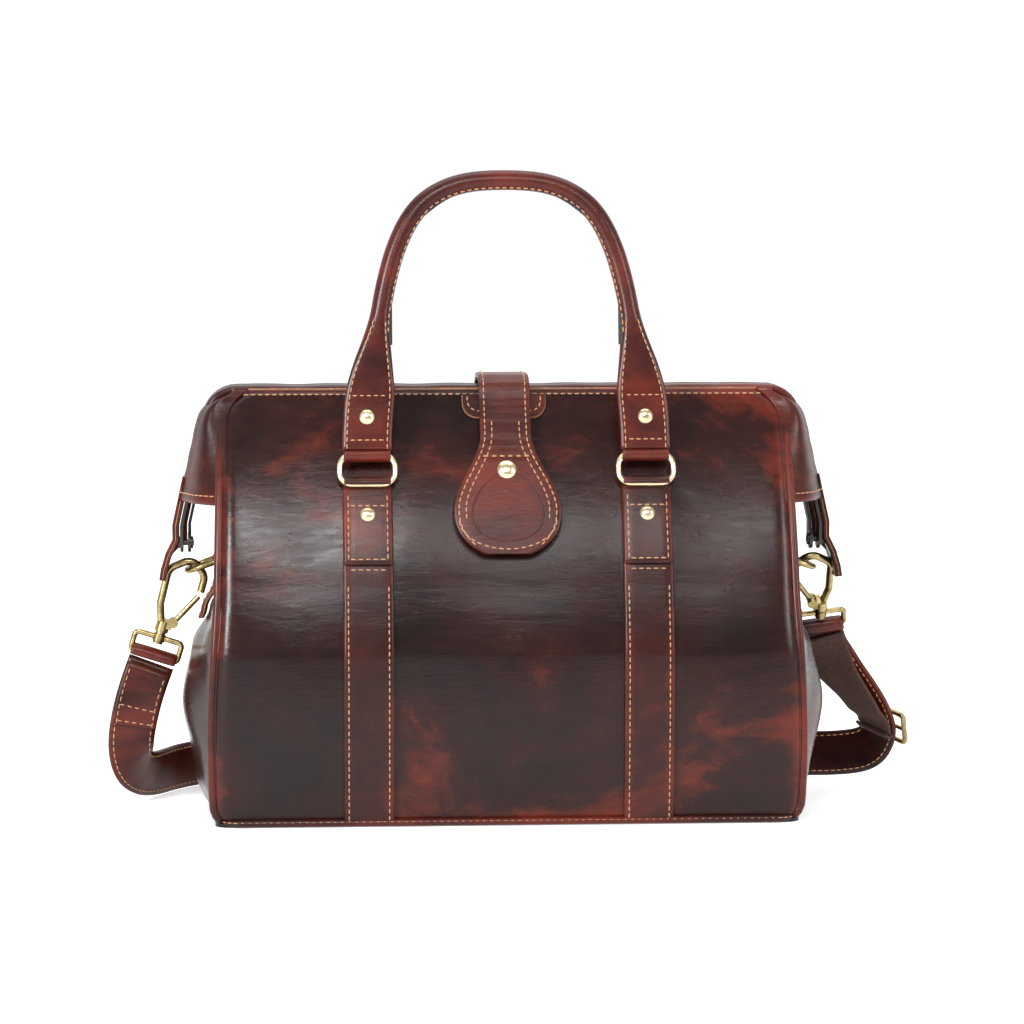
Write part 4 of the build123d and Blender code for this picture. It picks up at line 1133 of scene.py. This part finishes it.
patch = flat_patch("front_tab_leather", tab_outline(0.0272, 0.2620, 0.2760, 0.009), 0.0012, 0.0016, flap_leather)
add_wear(patch, lambda co: 0.55)
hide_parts("front_tab")
flat_patch("front_tab_edge", tab_outline(0.0277, 0.2614, 0.2760, 0.0094), 0.0004, 0.0012, raw_edge)
tab_seam_line, tab_seam_normals = [], []
for x, z in tab_outline(0.0242, 0.2650, 0.2750, 0.0068, 6):
    here, _, normal = face_frame(z, 1)
    tab_seam_line.append(Vector((x, here.y, here.z)) + normal * 0.0029)
    tab_seam_normals.append(normal)
stitch_seam("front_tab_seam", tab_seam_line, tab_seam_normals, "front_jaw")

# %% [markdown]
# On each side a leather tab holds the D-ring's straight bar. It goes round the bar, and both of its
# layers run down the gusset and are sewn there.

# %% Side tabs
D_BAR = {side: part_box(f"{side}_side_tab") for side in ("left", "right")}
TAB_LOW = D_BAR["left"][0][2]
for side_name, side in (("left", -1), ("right", 1)):
    bar = Vector(joints[f"{side_name}_dring_swing"]["pos_m"])
    hoop = []
    for k in range(13):
        turn = math.radians(-60 + 300 * k / 12)
        away = Vector((-side * math.cos(turn), 0, math.sin(turn)))
        hoop.append((Vector((bar.x, 0, bar.z)) + away * 0.0034, Vector((0, 1, 0)), away, 0.0078, 0.0010, 6))
    loop = tube_through(f"{side_name}_tab_loop", hoop, strap_leather, 16)
    rows = []
    for k in range(13):
        z = bar.z - 0.003 - (bar.z - 0.003 - TAB_LOW) * k / 12
        surface = half_width(z) + profile_at(FOLD_PROFILE, z) + 0.0030
        hold = smoothstep(bar.z - 0.016, bar.z - 0.002, z)
        at = Vector((side * (surface * (1 - hold) + abs(bar.x) * hold), 0, z))
        rows.append((at, Vector((0, 1, 0)), Vector((side, 0, 0)), 0.0080, 0.0021, 7))
    tab = tube_through(f"{side_name}_tab_leather", rows, strap_leather, 20)
    tan = tube_through(f"{side_name}_tab_tan", [(c, w, n, h + 0.0004, 0.0006, 7) for c, w, n, h, _, _ in rows[1:]], raw_edge, 20)
    for piece in (loop, tab):
        add_wear(piece, lambda co: 0.6)
    for piece in (loop, tab, tan):
        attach(piece, "root")
    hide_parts(f"{side_name}_side_tab")
    for k, edge in enumerate((-1, 1)):
        strap_edge_seam(f"{side_name}_tab_seam_{k}", rows[2:], 0.0024, edge, 1, "root")

# %% [markdown]
# The strap's ends are folds. On the left it goes round the ring and back down its own outside, with
# two rows of cross stitches. On the right it goes round the other ring and returns inside, down to
# the slider's middle bar, which is how its length is set. Last, the whole strap gets its wear.

# %% Strap folds and the strap's wear
SWIVEL_DROP, FOLD_R = 0.0132, 0.0042
LEFT_UP, LEFT_ACROSS = Vector((0.302, 0, 0.953)), Vector((0.953, 0, -0.302))
RIGHT_UP, RIGHT_ACROSS = Vector((-0.0999, -0.6191, 0.7789)), Vector((-0.9919, 0, -0.1272))
left_wire = Vector((-0.22865, 0, 0.11451)) - LEFT_UP * SWIVEL_DROP
right_wire = Vector((0.21913, 0.02786, 0.12506)) - RIGHT_UP * SWIVEL_DROP


def fold_round(name, wire, across, run):
    """Half a turn of strap round a ring's wire, from one face of the strap to the other."""
    face = across.cross(run).normalized()
    rows = []
    for k in range(15):
        turn = math.radians(-28 + 236 * k / 14)
        away = face * math.cos(turn) - run * math.sin(turn)
        rows.append((wire + away * FOLD_R, across, away, STRAP_WIDE / 2, 0.0014, 6))
    piece = tube_through(name, rows, strap_leather, 20)
    add_wear(piece, lambda co: 0.75)
    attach(piece, "root")
    return piece


left_run = (route_line[3] - left_wire).normalized()
right_run = (route_line[-4] - right_wire).normalized()
left_fold = fold_round("left_strap_fold", left_wire, LEFT_ACROSS, left_run)
right_fold = fold_round("right_strap_fold", right_wire, RIGHT_ACROSS, right_run)

FOLD_BACK, LAYER_OUT, CROSS_HALF = 0.046, 0.0042, 0.0125
travelled, left_rows = 0.0, []
for i in range(1, len(route_line)):
    travelled += (route_line[i] - route_line[i - 1]).length
    if 0.002 < travelled < FOLD_BACK:
        left_rows.append(i)
front_face = -1 if strap_stations[left_rows[0]][2][1] > 0 else 1
shifted = band_stations(route_line, route_wides, STRAP_WIDE / 2 - 0.0004, 0.0015, front_face * LAYER_OUT * 0.85)
fold_back = tube_through("left_strap_back", [shifted[i] for i in left_rows], strap_leather, 20)
add_wear(fold_back, lambda co: 0.6)
for k, row in enumerate((left_rows[-2], left_rows[int(len(left_rows) * 0.62)])):
    centre, wide, thick, half_wide, half_thick, _ = shifted[row]
    normal = thick * front_face
    centre = centre + normal * half_thick
    reach = wide * CROSS_HALF
    stitch_seam(f"left_strap_cross_{k}", [centre - reach, centre + reach], [normal, normal], "root")
back_rows = [shifted[i] for i in left_rows[1:]]
back_seams = [strap_edge_seam(f"left_strap_back_seam_{k}", back_rows, SEAM_INSET, side, front_face, "root")
              for k, side in enumerate((-1, 1))]

SLIDER_AT = Vector((0.268, 0.071, 0.042))
slider_row = min(range(len(route_line)), key=lambda i: (route_line[i] - SLIDER_AT).length)
inward = 1 if (strap_stations[-12][2]).dot(Vector((-1, -0.2, -0.4))) > 0 else -1
inner = []
for i in range(slider_row, len(route_line) - 1):
    from_slider = (route_line[i] - SLIDER_AT).length
    gap = 0.0046 + 0.0040 * smoothstep(0.004, 0.022, from_slider) * (1 - smoothstep(0.055, 0.080, from_slider))
    centre, wide, thick, _, _, _ = strap_stations[i]
    inner.append((centre + thick * (inward * gap), wide, thick, STRAP_WIDE / 2 - 0.0005, 0.0015, 6))
return_layer = tube_through("right_strap_return", inner, flesh_side_and_painted_shade, 20)
turn_rows = []
centre, wide, thick, _, _, _ = strap_stations[slider_row]
run = (route_line[slider_row + 1] - route_line[slider_row - 1]).normalized()
for k in range(13):
    turn = math.radians(-90 + 180 * k / 12)
    away = thick * (inward * math.sin(turn)) - run * math.cos(turn)
    turn_rows.append((centre + thick * (inward * 0.0036) + away * 0.0036, wide, away, STRAP_WIDE / 2 - 0.0006, 0.0013, 6))
slider_turn = tube_through("right_strap_turn", turn_rows, flesh_side_and_painted_shade, 20)
for piece in (fold_back, return_layer, slider_turn):
    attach(piece, "root")
add_wear(shoulder_strap, lambda co: 0.45 + 0.25 * math.sin(co.x * 40) * math.sin(co.z * 55))
